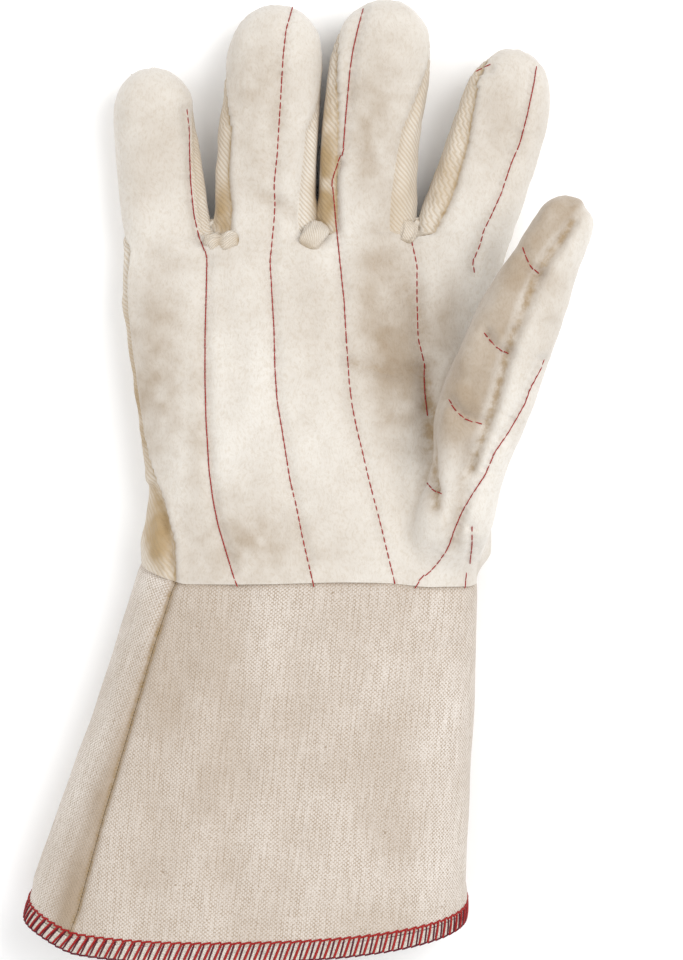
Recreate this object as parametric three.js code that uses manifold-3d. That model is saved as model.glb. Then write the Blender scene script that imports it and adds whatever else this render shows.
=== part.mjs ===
// Hot mill glove for the right hand: a heavy padded cotton work glove lying palm up on its back,
// with a flared canvas gauntlet cuff. Millimetres, +Z up, fingers along +Y, thumb on the +X side.
// Every piece is a cloth wall of its real thickness, and the whole glove is hollow from the cuff's
// hem to the fingertips. Flat underside at Z = 0, origin under the middle of the glove.

import * as THREE from "three";
import { mergeVertices } from "three/addons/utils/BufferGeometryUtils.js";
import Module from "manifold-3d";

const wasm = await Module();
wasm.setup();

// Cloth thicknesses and the gap that sewn pieces keep between them
const PALM_PLY = 4.6;
const BACK_PLY = 3;
const SIDE_PLY = 3.6;
const CANVAS = 2;
const HEM_SWELL = 0.5;
const HEM_WIDTH = 5;
const SEAM_GAP = 0.3;

// Facets round each kind of section
const FINGER_SIDES = 16;
const PALM_SIDES = 30;
const THUMB_SIDES = 16;
const CUFF_SIDES = 40;
const GUSSET_SIDES = 8;

// How round a section is: 2 is an ellipse, more is squarer
const TOP_POWER = 2.3;
const BOTTOM_POWER = 2.8;

// The line where the fingers leave the palm, and the wrist seam under the palm and under the back
const CROTCH_Y = 90;
const WRIST_Y = -38.6;
const WRIST_BACK_RISE = 7.5;
const WRIST_RISE_BELOW = 32;

// Fingers: centre line in plan through root, knuckle and tip, length of the tip's dome in half widths,
// half widths and half depth, how far the tip lifts, and the seams between front and back cloth as
// angles at root and tip, in degrees up from the thumb side
const FINGERS = [
  {
    name: "little",
    root: [-51.4, 82], knuckle: [-57.2, 130], tip: [-58.6, 155.6], dome: 1.15,
    rootHalf: 17, tipHalf: 14.2, halfDepth: 12.5, lift: 5,
    thumbSideSeam: [40, 20], outerSeam: [168, 182],
  },
  {
    name: "ring",
    root: [-15.2, 82], knuckle: [-14.2, 128], tip: [-10.4, 178.9], dome: 1.2,
    rootHalf: 19.9, tipHalf: 17.4, halfDepth: 14, lift: 3,
    thumbSideSeam: [46, 30], outerSeam: [132, 152],
  },
  {
    name: "middle",
    root: [21.2, 82], knuckle: [24, 131], tip: [32, 180.8], dome: 1.2,
    rootHalf: 19.3, tipHalf: 18.6, halfDepth: 14.4, lift: 3,
    thumbSideSeam: [52, 28], outerSeam: [132, 150],
  },
  {
    name: "index",
    root: [54.3, 82], knuckle: [70.4, 128], tip: [80.2, 160.4], dome: 1.3,
    rootHalf: 18.9, tipHalf: 16.7, halfDepth: 14, lift: 5,
    thumbSideSeam: [4, 2], outerSeam: [130, 142],
  },
];
const FINGER_STEPS = 4;
const DOME_STEPS = 4;
const TIP_END = 0.12; // size of the flat at the very tip, against the full section
const PRESSED_FLAT = 1.8; // how much of a section's round underside the floor takes away

// Palm and back of the hand: outline in plan, height over the floor, and the outer side seam
const PALM = [
  { y: 90, left: -68.2, right: 74.6, top: 27.5, seam: 168 },
  { y: 75, left: -69.6, right: 73.4, top: 31, seam: 165 },
  { y: 52, left: -66.8, right: 71, top: 35, seam: 166 },
  { y: 22, left: -62.8, right: 68.6, top: 39, seam: 168 },
  { y: -8, left: -60.2, right: 68.6, top: 42, seam: 163 },
  { y: -24, left: -62, right: 69, top: 43.4, seam: 156 },
  { y: -50, left: -64.4, right: 63.4, top: 45, seam: 146 },
];
const PALM_STEPS = 9;
const PALM_WAIST = 15; // height of the palm's widest line
const HOLLOWS = [
  { x: 37, y: 54, reach: [15, 26], depth: 6 },
  { x: -26, y: 104, reach: [9, 7], depth: 2.5 },
  { x: 40, y: -6, reach: [7, 34], depth: 4 },
];

// Thumb: centre line in space, half width, and half depths over and under the centre line
const THUMB = [
  { x: 44, y: -50, z: 21, half: 13, over: 15, under: 13 },
  { x: 48.5, y: -34, z: 26, half: 14, over: 17, under: 15 },
  { x: 54.6, y: -14, z: 34, half: 14.6, over: 18.5, under: 20 },
  { x: 59.8, y: 8, z: 40, half: 15, over: 19, under: 24 },
  { x: 67, y: 30, z: 46, half: 17.2, over: 18, under: 24 },
  { x: 74.4, y: 51.5, z: 51, half: 16, over: 17, under: 19 },
  { x: 81.2, y: 66.5, z: 53.5, half: 14.2, over: 15.5, under: 15.5 },
  { x: 88, y: 81.5, z: 55.5, half: 11.6, over: 13.5, under: 13.5 },
  { x: 99.6, y: 104, z: 57.5, half: 10.2, over: 12, under: 12 },
];
const THUMB_STEPS = 11;
const THUMB_SEAMS = [97, 263]; // top valley and underside seam, degrees up from the outer side
const THUMB_DOME = 1.2; // in half widths
const THUMB_FAN = { half: 30, over: 40, under: 40 }; // reach of the fan that parts its two halves
const THUMB_VALLEY = { depth: 2.6, reach: 0.4 }; // how deep, and how far round in radians

// Cuff: its outline at the wrist and at the hem, and the seams between palm side and back panels
const CUFF_WRIST = { left: -62.8, right: 63.6, top: 43.4, waist: 17 };
const CUFF_HEM = { left: -106.4, right: 59.8, top: 60, waist: 19 };
const CUFF_HEM_Y = { under: -154, over: -170.6 };
const HEM_SLANT = { slope: 0.02, about: -23 };
const CUFF_STEPS = 6;
const CUFF_SEAMS = [-8, 140];
const HEM_STEPS = 3;

// Folded cloth at the finger crotches: centre line of each little roll and its radius
const GUSSETS = [
  { name: "little_ring", path: [[-39, 95, 19.8], [-33.6, 93, 22.8], [-28, 94.5, 20.3]], radius: 4.8 },
  { name: "ring_middle", path: [[-1, 91.4, 23.8], [3, 95, 22.3], [7.4, 99, 18.8]], radius: 5.2 },
  { name: "middle_index", path: [[38.4, 91.4, 23.3], [38.4, 95, 22.3], [38.4, 99, 20.3]], radius: 4.8 },
];
const GUSSET_STEPS = 6;
const GUSSET_END = 0.45; // how thick a roll's ends stay, against its middle
const GUSSET_TRIM = 8; // how far a roll is trimmed back over the palm

const COLOURS = { nap: 0xe6dfd3, twill: 0xd9cbb0, canvas: 0xddd0bf, thread: 0x9c2a2c };
const UP = new THREE.Vector3(0, 0, 1);
const FAR = 400;
const PAST_TIP = 50; // how far the fans that part the panels run on past a tip
const FAN_REACH = 1.5; // and how far they reach out, in half widths
const FAN_OVERLAP = 1; // and how far the palm's runs over the crotch line

function radians(degrees) {
  return THREE.MathUtils.degToRad(degrees);
}

// A point of a rounded section, as distances across and up from its centre
function sectionPoint({ half, over, under }, angle) {
  const c = Math.cos(angle);
  const s = Math.sin(angle);
  const power = s >= 0 ? TOP_POWER : BOTTOM_POWER;
  const depth = s >= 0 ? over : under;
  return {
    across: half * Math.sign(c) * Math.abs(c) ** (2 / power),
    up: depth * Math.sign(s) * Math.abs(s) ** (2 / power),
  };
}

function fullTurn(sides) {
  return Array.from({ length: sides }, (_, i) => (2 * Math.PI * i) / sides);
}

function spread(from, to, steps) {
  return Array.from({ length: steps + 1 }, (_, i) => from + ((to - from) * i) / steps);
}

// A closed solid from an index and points, turned so that its faces point out
function solidFrom(points, index) {
  const geometry = new THREE.BufferGeometry().setFromPoints(points);
  geometry.setIndex(index);
  const merged = mergeVertices(geometry, 1e-4);
  const mesh = { numProp: 3, vertProperties: merged.attributes.position.array };
  const triVerts = new Uint32Array(merged.index.array);
  const made = new wasm.Manifold(new wasm.Mesh({ ...mesh, triVerts }));
  if (made.volume() > 0) return made;
  return new wasm.Manifold(new wasm.Mesh({ ...mesh, triVerts: triVerts.reverse() }));
}

// Rings of equally many points joined into a closed solid, with flat ends fanned from their first point
function loft(rings) {
  const count = rings[0].length;
  const index = [];
  for (let r = 0; r + 1 < rings.length; r += 1) {
    for (let i = 0; i < count; i += 1) {
      const j = (i + 1) % count;
      const [a, b, c, d] = [r * count + i, r * count + j, (r + 1) * count + i, (r + 1) * count + j];
      index.push(a, b, d, a, d, c);
    }
  }
  const last = (rings.length - 1) * count;
  for (let i = 1; i + 1 < count; i += 1) {
    index.push(0, i + 1, i, last, last + i, last + i + 1);
  }
  return solidFrom(rings.flat(), index);
}

// A cloth wall between an outer and an inner grid of rows, closed along its edges
function clothWall(outer, inner, goesRound) {
  const rows = outer.length;
  const columns = outer[0].length;
  const at = (side, r, i) => (side * rows + r) * columns + (i % columns);
  const index = [];
  const quad = (a, b, c, d) => index.push(a, b, c, a, c, d);
  const spans = goesRound ? columns : columns - 1;
  for (let i = 0; i < spans; i += 1) {
    for (let r = 0; r + 1 < rows; r += 1) {
      quad(at(0, r, i), at(0, r, i + 1), at(0, r + 1, i + 1), at(0, r + 1, i));
      quad(at(1, r, i), at(1, r + 1, i), at(1, r + 1, i + 1), at(1, r, i + 1));
    }
    quad(at(1, 0, i), at(1, 0, i + 1), at(0, 0, i + 1), at(0, 0, i));
    const end = rows - 1;
    quad(at(0, end, i), at(0, end, i + 1), at(1, end, i + 1), at(1, end, i));
  }
  if (!goesRound) {
    const edge = columns - 1;
    for (let r = 0; r + 1 < rows; r += 1) {
      quad(at(0, r, 0), at(0, r + 1, 0), at(1, r + 1, 0), at(1, r, 0));
      quad(at(0, r, edge), at(1, r, edge), at(1, r + 1, edge), at(0, r + 1, edge));
    }
  }
  return solidFrom([...outer.flat(), ...inner.flat()], index);
}

// How far the top of the hand sinks at a point, in the palm's hollow and beside the thumb
function hollowDepth({ x, y }) {
  const sink = ({ x: cx, y: cy, reach, depth }) =>
    depth * Math.exp(-(((x - cx) / reach[0]) ** 2) - ((y - cy) / reach[1]) ** 2);
  return HOLLOWS.reduce((sum, hollow) => sum + sink(hollow), 0);
}

// The thumb's two padded halves meet in a valley along the top seam
function valleyDepth(angle) {
  return THUMB_VALLEY.depth * Math.exp(-(((angle - radians(THUMB_SEAMS[0])) / THUMB_VALLEY.reach) ** 2));
}

// The ring of a limb's section at a station, kept over a floor height
function sectionRing(station, angles, floor) {
  return angles.map((angle) => {
    const { across, up } = sectionPoint(station, angle);
    const dip = station.valley ? valleyDepth(angle) * station.valley : 0;
    const point = station.centre.clone().addScaledVector(station.right, across);
    point.addScaledVector(station.rise, up - dip);
    if (!station.restsFlat) return point;
    if (up > 0) point.z -= hollowDepth(point) * (up / station.over);
    point.z = Math.max(point.z, floor);
    return point;
  });
}

// The part of space on the palm side of a limb's two seams, as a fan round its centre line
function seamFan(stations, sides, grow) {
  const fans = stations.map((station) => {
    const slack = grow / station.half;
    const [from, to] = station.seams;
    const angles = spread(from - slack, to + slack, sides);
    const wide = scaled(station, FAN_REACH);
    return [station.centre.clone(), ...sectionRing({ ...wide, restsFlat: false }, angles, 0)];
  });
  return loft(fans);
}

function scaled(station, by) {
  return { ...station, half: station.half * by, over: station.over * by, under: station.under * by };
}

function grown(station, by) {
  return { ...station, half: station.half + by, over: station.over + by, under: station.under + by };
}

// One finger's stations from root to tip, its end rounded like a dome. A cavity is the same finger,
// thinner by the cloth and shorter at the tip
function fingerStations(finger, wall) {
  const level = finger.halfDepth - PRESSED_FLAT;
  const curve = new THREE.CatmullRomCurve3([
    new THREE.Vector3(...finger.root, level),
    new THREE.Vector3(...finger.knuckle, level + finger.lift / 3),
    new THREE.Vector3(...finger.tip, level + finger.lift),
  ]);
  const length = curve.getLength();
  const half = (t) => THREE.MathUtils.lerp(finger.rootHalf, finger.tipHalf, t);
  const dome = finger.dome * finger.tipHalf - wall.side;
  const end = length - wall.side;
  const straight = spread(0, end - dome, FINGER_STEPS).map((along) => ({ along, shrink: 1 }));
  const round = spread(0, Math.PI / 2, DOME_STEPS).slice(1, -1);
  const domed = round.map((a) => ({ along: end - dome + dome * Math.sin(a), shrink: Math.cos(a) }));
  const last = { along: end, shrink: TIP_END };
  return [...straight, ...domed, last].map(({ along, shrink }) => {
    const t = Math.min(along / length, 1);
    const tangent = curve.getTangentAt(t).setZ(0).normalize();
    const seamAt = ([root, tip]) => radians(THREE.MathUtils.lerp(root, tip, t));
    return {
      centre: curve.getPointAt(t),
      right: new THREE.Vector3().crossVectors(tangent, UP),
      rise: UP,
      restsFlat: true,
      inDome: shrink < 1,
      half: (half(t) - wall.side) * shrink,
      over: (finger.halfDepth - wall.over) * shrink,
      under: (finger.halfDepth - wall.under) * shrink,
      seams: [seamAt(finger.thumbSideSeam), seamAt(finger.outerSeam)],
    };
  });
}

// The fan must reach past the dome, so it keeps the finger's full section to beyond the tip
function fingerFan(finger, grow) {
  const stations = fingerStations(finger, NO_WALL).filter((s) => !s.inDome);
  const last = stations.at(-1);
  const ahead = new THREE.Vector3().crossVectors(UP, last.right).multiplyScalar(PAST_TIP);
  stations.push({ ...last, centre: last.centre.clone().add(ahead) });
  return seamFan(stations, FINGER_SIDES / 2, grow);
}

// A smooth run of values through the rows of a table, read by column
function alongRows(rows, steps, columns) {
  const curves = columns.map(
    (column) => new THREE.CatmullRomCurve3(rows.map((row, i) => new THREE.Vector3(i, row[column], 0))),
  );
  return spread(0, 1, steps).map((t) =>
    Object.fromEntries(columns.map((column, k) => [column, curves[k].getPoint(t).y])),
  );
}

// The palm's fan runs a little past the crotch line, to join the front cloth of palm and fingers
function palmFan(grow) {
  const stations = palmStations(NO_WALL);
  const [first] = stations;
  const beyond = { ...first, centre: first.centre.clone().setY(CROTCH_Y + FAN_OVERLAP) };
  return seamFan([beyond, ...stations], PALM_SIDES / 2, grow);
}

function palmStations(wall) {
  return alongRows(PALM, PALM_STEPS, ["y", "left", "right", "top", "seam"]).map((row, i) => ({
    centre: new THREE.Vector3((row.left + row.right) / 2, i ? row.y : row.y - wall.side, PALM_WAIST),
    right: new THREE.Vector3(1, 0, 0),
    rise: UP,
    restsFlat: true,
    half: (row.right - row.left) / 2 - wall.side,
    over: row.top - PALM_WAIST - wall.over,
    under: PALM_WAIST + PRESSED_FLAT - wall.under,
    seams: [0, radians(row.seam)],
  }));
}

function thumbStations(wall) {
  const rows = alongRows(THUMB, THUMB_STEPS, ["x", "y", "z", "half", "over", "under"]);
  const points = rows.map((row) => new THREE.Vector3(row.x, row.y, row.z));
  const seams = THUMB_SEAMS.map(radians);
  const stations = rows.map((row, i) => {
    const tangent = points[Math.min(i + 1, THUMB_STEPS)].clone().sub(points[Math.max(i - 1, 0)]).normalize();
    const right = new THREE.Vector3().crossVectors(tangent, UP).normalize();
    const rise = new THREE.Vector3().crossVectors(right, tangent);
    return { centre: points[i], tangent, right, rise, restsFlat: false, seams, valley: 1, ...row };
  });
  const tip = stations.at(-1);
  const dome = THUMB_DOME * tip.half - wall.side;
  const body = stations.filter((s) => s.centre.distanceTo(tip.centre) > dome + wall.side);
  const last = body.at(-1);
  const start = tip.centre.clone().addScaledVector(tip.tangent, -dome - wall.side);
  const thinned = (s, shrink) => ({
    half: (s.half - wall.side) * shrink,
    over: (s.over - wall.side) * shrink,
    under: (s.under - wall.side) * shrink,
    valley: shrink,
  });
  const domed = spread(0, Math.PI / 2, DOME_STEPS).map((a) => ({
    ...last,
    centre: start.clone().addScaledVector(tip.tangent, dome * Math.sin(a)),
    ...thinned(last, Math.max(Math.cos(a), TIP_END)),
  }));
  return [...body.slice(0, -1).map((s) => ({ ...s, ...thinned(s, 1) })), ...domed];
}

function rings(stations, sides, floor) {
  return stations.map((station) => sectionRing(station, fullTurn(sides), floor));
}

// Height of the wrist seam along Y: lower over the palm than on the back of the hand
function wristY(z) {
  return WRIST_Y + WRIST_BACK_RISE * (1 - THREE.MathUtils.smoothstep(z, 0, WRIST_RISE_BELOW));
}

// All space on the cuff's side of the wrist seam
function belowWrist() {
  const heights = spread(0, WRIST_RISE_BELOW, 6);
  const edge = [-FAR, ...heights, FAR].map((z) => [wristY(z), z]);
  const profile = [[-FAR, 0], [-FAR, -FAR], ...edge, [-FAR, FAR]];
  return loft([-FAR, FAR].map((x) => profile.map(([y, z]) => new THREE.Vector3(x, y, z))));
}

// A slab of space between two heights along Y
function slab(fromY, toY) {
  const corners = [[-FAR, -FAR], [FAR, -FAR], [FAR, FAR], [-FAR, FAR]];
  return loft([fromY, toY].map((y) => corners.map(([x, z]) => new THREE.Vector3(x, y, z))));
}

const NO_WALL = { side: 0, over: 0, under: 0 };
const HAND_WALL = { side: SIDE_PLY, over: PALM_PLY, under: BACK_PLY };

function union(solids) {
  return solids.reduce((all, one) => all.add(one));
}

function growAll(stations, by) {
  return stations.map((station) => grown(station, by));
}

// The hand's outer forms and its cavities
const palmOuter = loft(rings(palmStations(NO_WALL), PALM_SIDES, 0));
const palmCavity = loft(rings(palmStations(HAND_WALL), PALM_SIDES, BACK_PLY));
const fingerOuters = FINGERS.map((f) => loft(rings(fingerStations(f, NO_WALL), FINGER_SIDES, 0)));
const fingerCavities = FINGERS.map((f) => loft(rings(fingerStations(f, HAND_WALL), FINGER_SIDES, BACK_PLY)));
const thumbOuter = loft(rings(thumbStations(NO_WALL), THUMB_SIDES, 0));
const thumbCavity = loft(rings(thumbStations(HAND_WALL), THUMB_SIDES, 0));
const thumbRoom = loft(rings(growAll(thumbStations(NO_WALL), SEAM_GAP), THUMB_SIDES, 0));
const cavity = union([palmCavity, ...fingerCavities]);
const cuffSide = belowWrist();

// Palm and back panels: each finger is parted along its own two seams, and the palm along its side seam
function handPanels() {
  const fingerSpace = slab(CROTCH_Y - SEAM_GAP, FAR);
  const crotchLine = slab(-FAR, CROTCH_Y + SEAM_GAP);
  const palmZone = palmFan(0);
  const palmZoneWide = palmFan(SEAM_GAP);
  const fingerRoots = union(fingerOuters).intersect(slab(-FAR, CROTCH_Y));
  const palmShell = palmOuter.add(fingerRoots).subtract(cavity);
  const fronts = [palmShell.intersect(palmZone)];
  const backs = [palmShell.subtract(palmZoneWide)];
  FINGERS.forEach((finger, i) => {
    const shell = fingerOuters[i].intersect(fingerSpace).subtract(cavity);
    const front = shell.intersect(fingerFan(finger, 0));
    fronts.push(front.subtract(crotchLine.subtract(palmZone)));
    const back = shell.subtract(fingerFan(finger, SEAM_GAP));
    backs.push(back.subtract(crotchLine.intersect(palmZoneWide)));
  });
  const trim = (parts) => union(parts).subtract(thumbRoom).subtract(cuffSide);
  return { palm_panel: trim(fronts), back_panel: trim(backs) };
}

// The thumb's two halves, parted along the valley on top and the seam beneath
function thumbPanels() {
  const shell = thumbOuter.subtract(thumbCavity).subtract(cavity).subtract(cuffSide);
  const stations = thumbStations(NO_WALL).filter((s) => s.valley === 1);
  const last = stations.at(-1);
  stations.push({ ...last, centre: last.centre.clone().addScaledVector(last.tangent, PAST_TIP) });
  const wide = stations.map((s) => ({ ...s, ...THUMB_FAN }));
  const innerZone = seamFan(wide, THUMB_SIDES, 0);
  const innerZoneWide = seamFan(wide, THUMB_SIDES, SEAM_GAP * 2);
  return {
    thumb_inner_panel: shell.intersect(innerZone),
    thumb_outer_panel: shell.subtract(innerZoneWide),
  };
}

// A point of the cuff: round by angle, down from wrist (0) to hem (1), and in from its outer face
function cuffPoint(angle, down, inset) {
  const at = (key) => THREE.MathUtils.lerp(CUFF_WRIST[key], CUFF_HEM[key], down);
  const waist = at("waist");
  const size = {
    half: (at("right") - at("left")) / 2 - inset,
    over: at("top") - waist - inset,
    under: waist + PRESSED_FLAT - inset,
  };
  const { across, up } = sectionPoint(size, angle);
  const z = Math.max(waist + up, Math.max(inset, 0));
  const x = (at("left") + at("right")) / 2 + across;
  const slant = HEM_SLANT.slope * (x - HEM_SLANT.about);
  const hemY = THREE.MathUtils.lerp(CUFF_HEM_Y.under, CUFF_HEM_Y.over, z / CUFF_HEM.top) + slant;
  return new THREE.Vector3(x, THREE.MathUtils.lerp(wristY(z) - SEAM_GAP, hemY, down), z);
}

function cuffPanel(fromDegrees, toDegrees) {
  const sides = Math.round((CUFF_SIDES * (toDegrees - fromDegrees)) / 360);
  const slack = SEAM_GAP / 2 / CUFF_WRIST.right;
  const angles = spread(radians(fromDegrees) + slack, radians(toDegrees) - slack, sides);
  const downs = spread(0, 1, CUFF_STEPS);
  const grid = (inset) => downs.map((down) => angles.map((a) => cuffPoint(a, down, inset)));
  return clothWall(grid(0), grid(CANVAS), false);
}

// The overlocked edge: a band past the canvas, a little thicker, with a rounded lower edge
function cuffHem() {
  const length = WRIST_Y - CUFF_HEM_Y.over;
  const downs = spread(1 + SEAM_GAP / length, 1 + (SEAM_GAP + HEM_WIDTH) / length, HEM_STEPS);
  const swell = (row) => (row === HEM_STEPS ? -HEM_SWELL / 2 : HEM_SWELL);
  const angles = fullTurn(CUFF_SIDES);
  const grid = (inset, side) =>
    downs.map((down, row) => angles.map((a) => cuffPoint(a, down, inset - side * swell(row))));
  return clothWall(grid(0, 1), grid(CANVAS, -1), true);
}

// Rolls of folded cloth that fill the crotches, seated on the fingers and the palm
function crotchGusset({ path, radius }) {
  const curve = new THREE.CatmullRomCurve3(path.map((p) => new THREE.Vector3(...p)));
  const stations = spread(0, Math.PI, GUSSET_STEPS).map((a) => {
    const t = (1 - Math.cos(a)) / 2;
    const tangent = curve.getTangentAt(t);
    const right = new THREE.Vector3().crossVectors(tangent, UP).normalize();
    const rise = new THREE.Vector3().crossVectors(right, tangent);
    const size = radius * Math.max(Math.sqrt(Math.sin(a)), GUSSET_END);
    return { centre: curve.getPointAt(t), right, rise, half: size, over: size, under: size };
  });
  const roll = loft(rings(stations, GUSSET_SIDES, 0));
  const palm = loft(rings(growAll(palmStations(NO_WALL), SEAM_GAP), PALM_SIDES, 0));
  const roomyStations = FINGERS.map((finger) => growAll(fingerStations(finger, NO_WALL), SEAM_GAP));
  const fingerRooms = roomyStations.map((stations) => loft(rings(stations, FINGER_SIDES, 0)));
  const palmSide = slab(CROTCH_Y - GUSSET_TRIM, CROTCH_Y + SEAM_GAP);
  const left = roll.subtract(union([palm, palmSide, ...fingerRooms]));
  return left.decompose().sort((a, b) => b.volume() - a.volume())[0];
}

function meshOf(name, solid, material) {
  const { vertProperties, triVerts } = solid.getMesh();
  const geometry = new THREE.BufferGeometry();
  geometry.setAttribute("position", new THREE.BufferAttribute(new Float32Array(vertProperties), 3));
  geometry.setIndex(new THREE.BufferAttribute(new Uint32Array(triVerts), 1));
  const flat = geometry.toNonIndexed();
  flat.computeVertexNormals();
  const mesh = new THREE.Mesh(flat, material);
  mesh.name = name;
  return mesh;
}

function cloth(color, roughness) {
  return new THREE.MeshStandardMaterial({ color, roughness, metalness: 0 });
}

const napped = cloth(COLOURS.nap, 0.95);
const twill = cloth(COLOURS.twill, 0.9);
const canvas = cloth(COLOURS.canvas, 0.85);
const overlock = cloth(COLOURS.thread, 0.8);

const glove = new THREE.Group();
const { palm_panel, back_panel } = handPanels();
const { thumb_inner_panel, thumb_outer_panel } = thumbPanels();
glove.add(
  meshOf("palm_panel", palm_panel, napped),
  meshOf("back_panel", back_panel, twill),
  meshOf("thumb_inner_panel", thumb_inner_panel, napped),
  meshOf("thumb_outer_panel", thumb_outer_panel, napped),
  meshOf("cuff_palm_panel", cuffPanel(CUFF_SEAMS[0], CUFF_SEAMS[1]), canvas),
  meshOf("cuff_back_panel", cuffPanel(CUFF_SEAMS[1], CUFF_SEAMS[0] + 360), canvas),
  meshOf("cuff_hem", cuffHem(), overlock),
  ...GUSSETS.map((gusset) => meshOf("crotch_gusset_" + gusset.name, crotchGusset(gusset), twill)),
);

// The origin lies under the middle of the glove
const middle = new THREE.Box3().setFromObject(glove).getCenter(new THREE.Vector3());
glove.children.forEach((piece) => piece.geometry.translate(-middle.x, -middle.y, 0));

export default glove;
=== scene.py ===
"""Looks of the hot mill glove: napped quilted cotton hand, twill back, canvas cuff, overlocked hem.

Tables are in millimetres, in the plan of the part's source, and FRAME_SHIFT moves them to the frame.
Marks that the photograph shows are given as pixels of its 683 by 960 frame.
"""

import itertools
import math
from dataclasses import dataclass

import bpy
import numpy as np
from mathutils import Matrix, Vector
from mathutils.bvhtree import BVHTree


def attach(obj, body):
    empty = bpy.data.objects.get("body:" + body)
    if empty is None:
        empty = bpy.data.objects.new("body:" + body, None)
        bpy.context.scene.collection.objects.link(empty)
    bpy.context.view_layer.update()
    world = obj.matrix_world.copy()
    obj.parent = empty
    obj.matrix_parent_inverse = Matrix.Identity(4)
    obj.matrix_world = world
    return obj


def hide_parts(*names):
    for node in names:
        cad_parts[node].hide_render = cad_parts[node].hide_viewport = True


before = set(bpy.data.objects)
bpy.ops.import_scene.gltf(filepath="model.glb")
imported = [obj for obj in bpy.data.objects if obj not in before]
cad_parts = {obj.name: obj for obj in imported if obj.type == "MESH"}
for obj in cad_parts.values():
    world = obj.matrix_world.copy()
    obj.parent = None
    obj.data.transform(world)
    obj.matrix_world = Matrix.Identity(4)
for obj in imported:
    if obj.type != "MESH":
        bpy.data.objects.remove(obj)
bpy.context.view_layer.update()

MM = 0.001
FRAME_SHIFT = np.array([1.37, -2.45, 0.0])
UP = np.array([0.0, 0.0, 1.0])

# The camera hangs straight over the glove, in mm, and each pixel covers this much of the floor
CAMERA_AT = (14.27, -2.45, 1520.0)
MM_PER_PIXEL = 0.38
PICTURE_MIDDLE = (341.5, 480.0)

# Cloth thicknesses, the gap between cuff cloths, and how far the cuff passes the wrist seam
PALM_PLY = 4.4
BACK_PLY = 2.9
SIDE_PLY = 3.4
CANVAS = 2.0
SEAM_GAP = 0.3
CUFF_TUCK = 0.6

# How round a section is: 2 is an ellipse, more is squarer
TOP_POWER = 2.3
BOTTOM_POWER = 2.8
PRESSED_FLAT = 1.8

# The line where the fingers leave the palm, and the wrist seam under the palm and under the back
CROTCH_Y = 90.0
WRIST_Y = -38.6
WRIST_BACK_RISE = 7.5
WRIST_RISE_BELOW = 32.0
WRIST_LEFT_RISE = 4.5
WRIST_HEEL_DROP = 1.3
MEETS_WITHIN = 20.0


@dataclass
class Finger:
    """One finger: its centre line in plan, its sizes and its seams' angles from root to tip."""

    name: str
    root: tuple
    knuckle: tuple
    tip: tuple
    dome: float
    root_half: float
    tip_half: float
    half_depth: float
    lift: float
    thumb_side_seam: tuple
    outer_seam: tuple
    apart: float  # how far it is held off its neighbours while the cloth is formed


FINGERS = [
    Finger("little", (-51.4, 82), (-57.2, 130), (-58.6, 155.6), 1.15, 17, 14.2, 12.5, 5,
           (42, 42, 36, 6, -28), (168, 176, 184, 196, 208), -6.5),
    Finger("ring", (-15.2, 82), (-14.2, 128), (-10.4, 178.9), 1.2, 19.9, 17.4, 14, 3,
           (56, 54, 46, 0, -28), (126, 138, 141, 178, 208), -3.5),
    Finger("middle", (21.2, 82), (24, 131), (32, 180.8), 1.2, 19.3, 18.6, 14.4, 3,
           (64, 64, 55, 22, -28), (122, 125, 129, 152, 208), 3.5),
    Finger("index", (54.3, 82), (70.4, 128), (80.5, 162.2), 1.3, 18.3, 16.1, 14, 5,
           (-2, -6, -12, -18, -28), (124, 116, 120, 136, 190), 8.5),
]

# Palm rows: height along Y, left and right edge, top, and the outer seam's angle
PALM = [
    (90, -68.2, 74.6, 27.5, 170),
    (75, -69.6, 73.4, 31, 169),
    (52, -66.8, 71, 35, 170),
    (22, -62.8, 68.6, 39, 171),
    (-8, -59, 68.6, 42, 155),
    (-24, -61, 69.4, 43.4, 143),
    (-50, -64.4, 63.4, 45, 137),
]
PALM_WAIST = 15.0
# Hollows of the top: place in plan, reach, depth
HOLLOWS = [(37, 54, 15, 26, 6), (-26, 104, 9, 7, 2.5), (40, -6, 7, 34, 4)]

# Thumb rows: x, y, z, half width, depth over and under the centre line
THUMB = [
    (44, -50, 21, 13, 15, 13),
    (48.5, -34, 26, 14, 17, 15),
    (54.6, -14, 34, 14.6, 18.5, 20),
    (59.8, 8, 40, 15, 19, 24),
    (67, 30, 46, 17.2, 18, 24),
    (74.4, 51.5, 51, 16, 17, 19),
    (81.2, 66.5, 53.5, 14.2, 15.5, 15.5),
    (88, 81.5, 55.5, 11.6, 13.5, 13.5),
    (99.6, 104, 57.5, 10.2, 12, 12),
]
THUMB_SEAMS = (97, 263)
THUMB_DOME = 1.2
THUMB_VALLEY = (2.6, 0.4)

# Cuff outlines at the wrist and at the hem: left, right, top, height of the widest line
CUFF_WRIST = (-62.2, 63.6, 43.4, 17)
CUFF_HEM = (-104.4, 60, 60, 19)
CUFF_HEM_Y = (-154, -170.6)
HEM_SLANT = (0.02, -23)
HEM_CORNER_LIFT = 3.6
CUFF_SEAMS = (-8, 140)
HEM_WIDTH = 5.0
CUFF_LENGTH = WRIST_Y - CUFF_HEM_Y[1]


def smoothstep(value, low, high):
    """0 up to low, 1 from high, and soft between them."""
    t = np.clip((value - low) / (high - low), 0, 1)
    return t * t * (3 - 2 * t)


def mix(a, b, t):
    return a + (b - a) * t


def hump(value, width):
    """1 at zero, fading to either side over this width."""
    return np.exp(-((value / width) ** 2))


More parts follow.
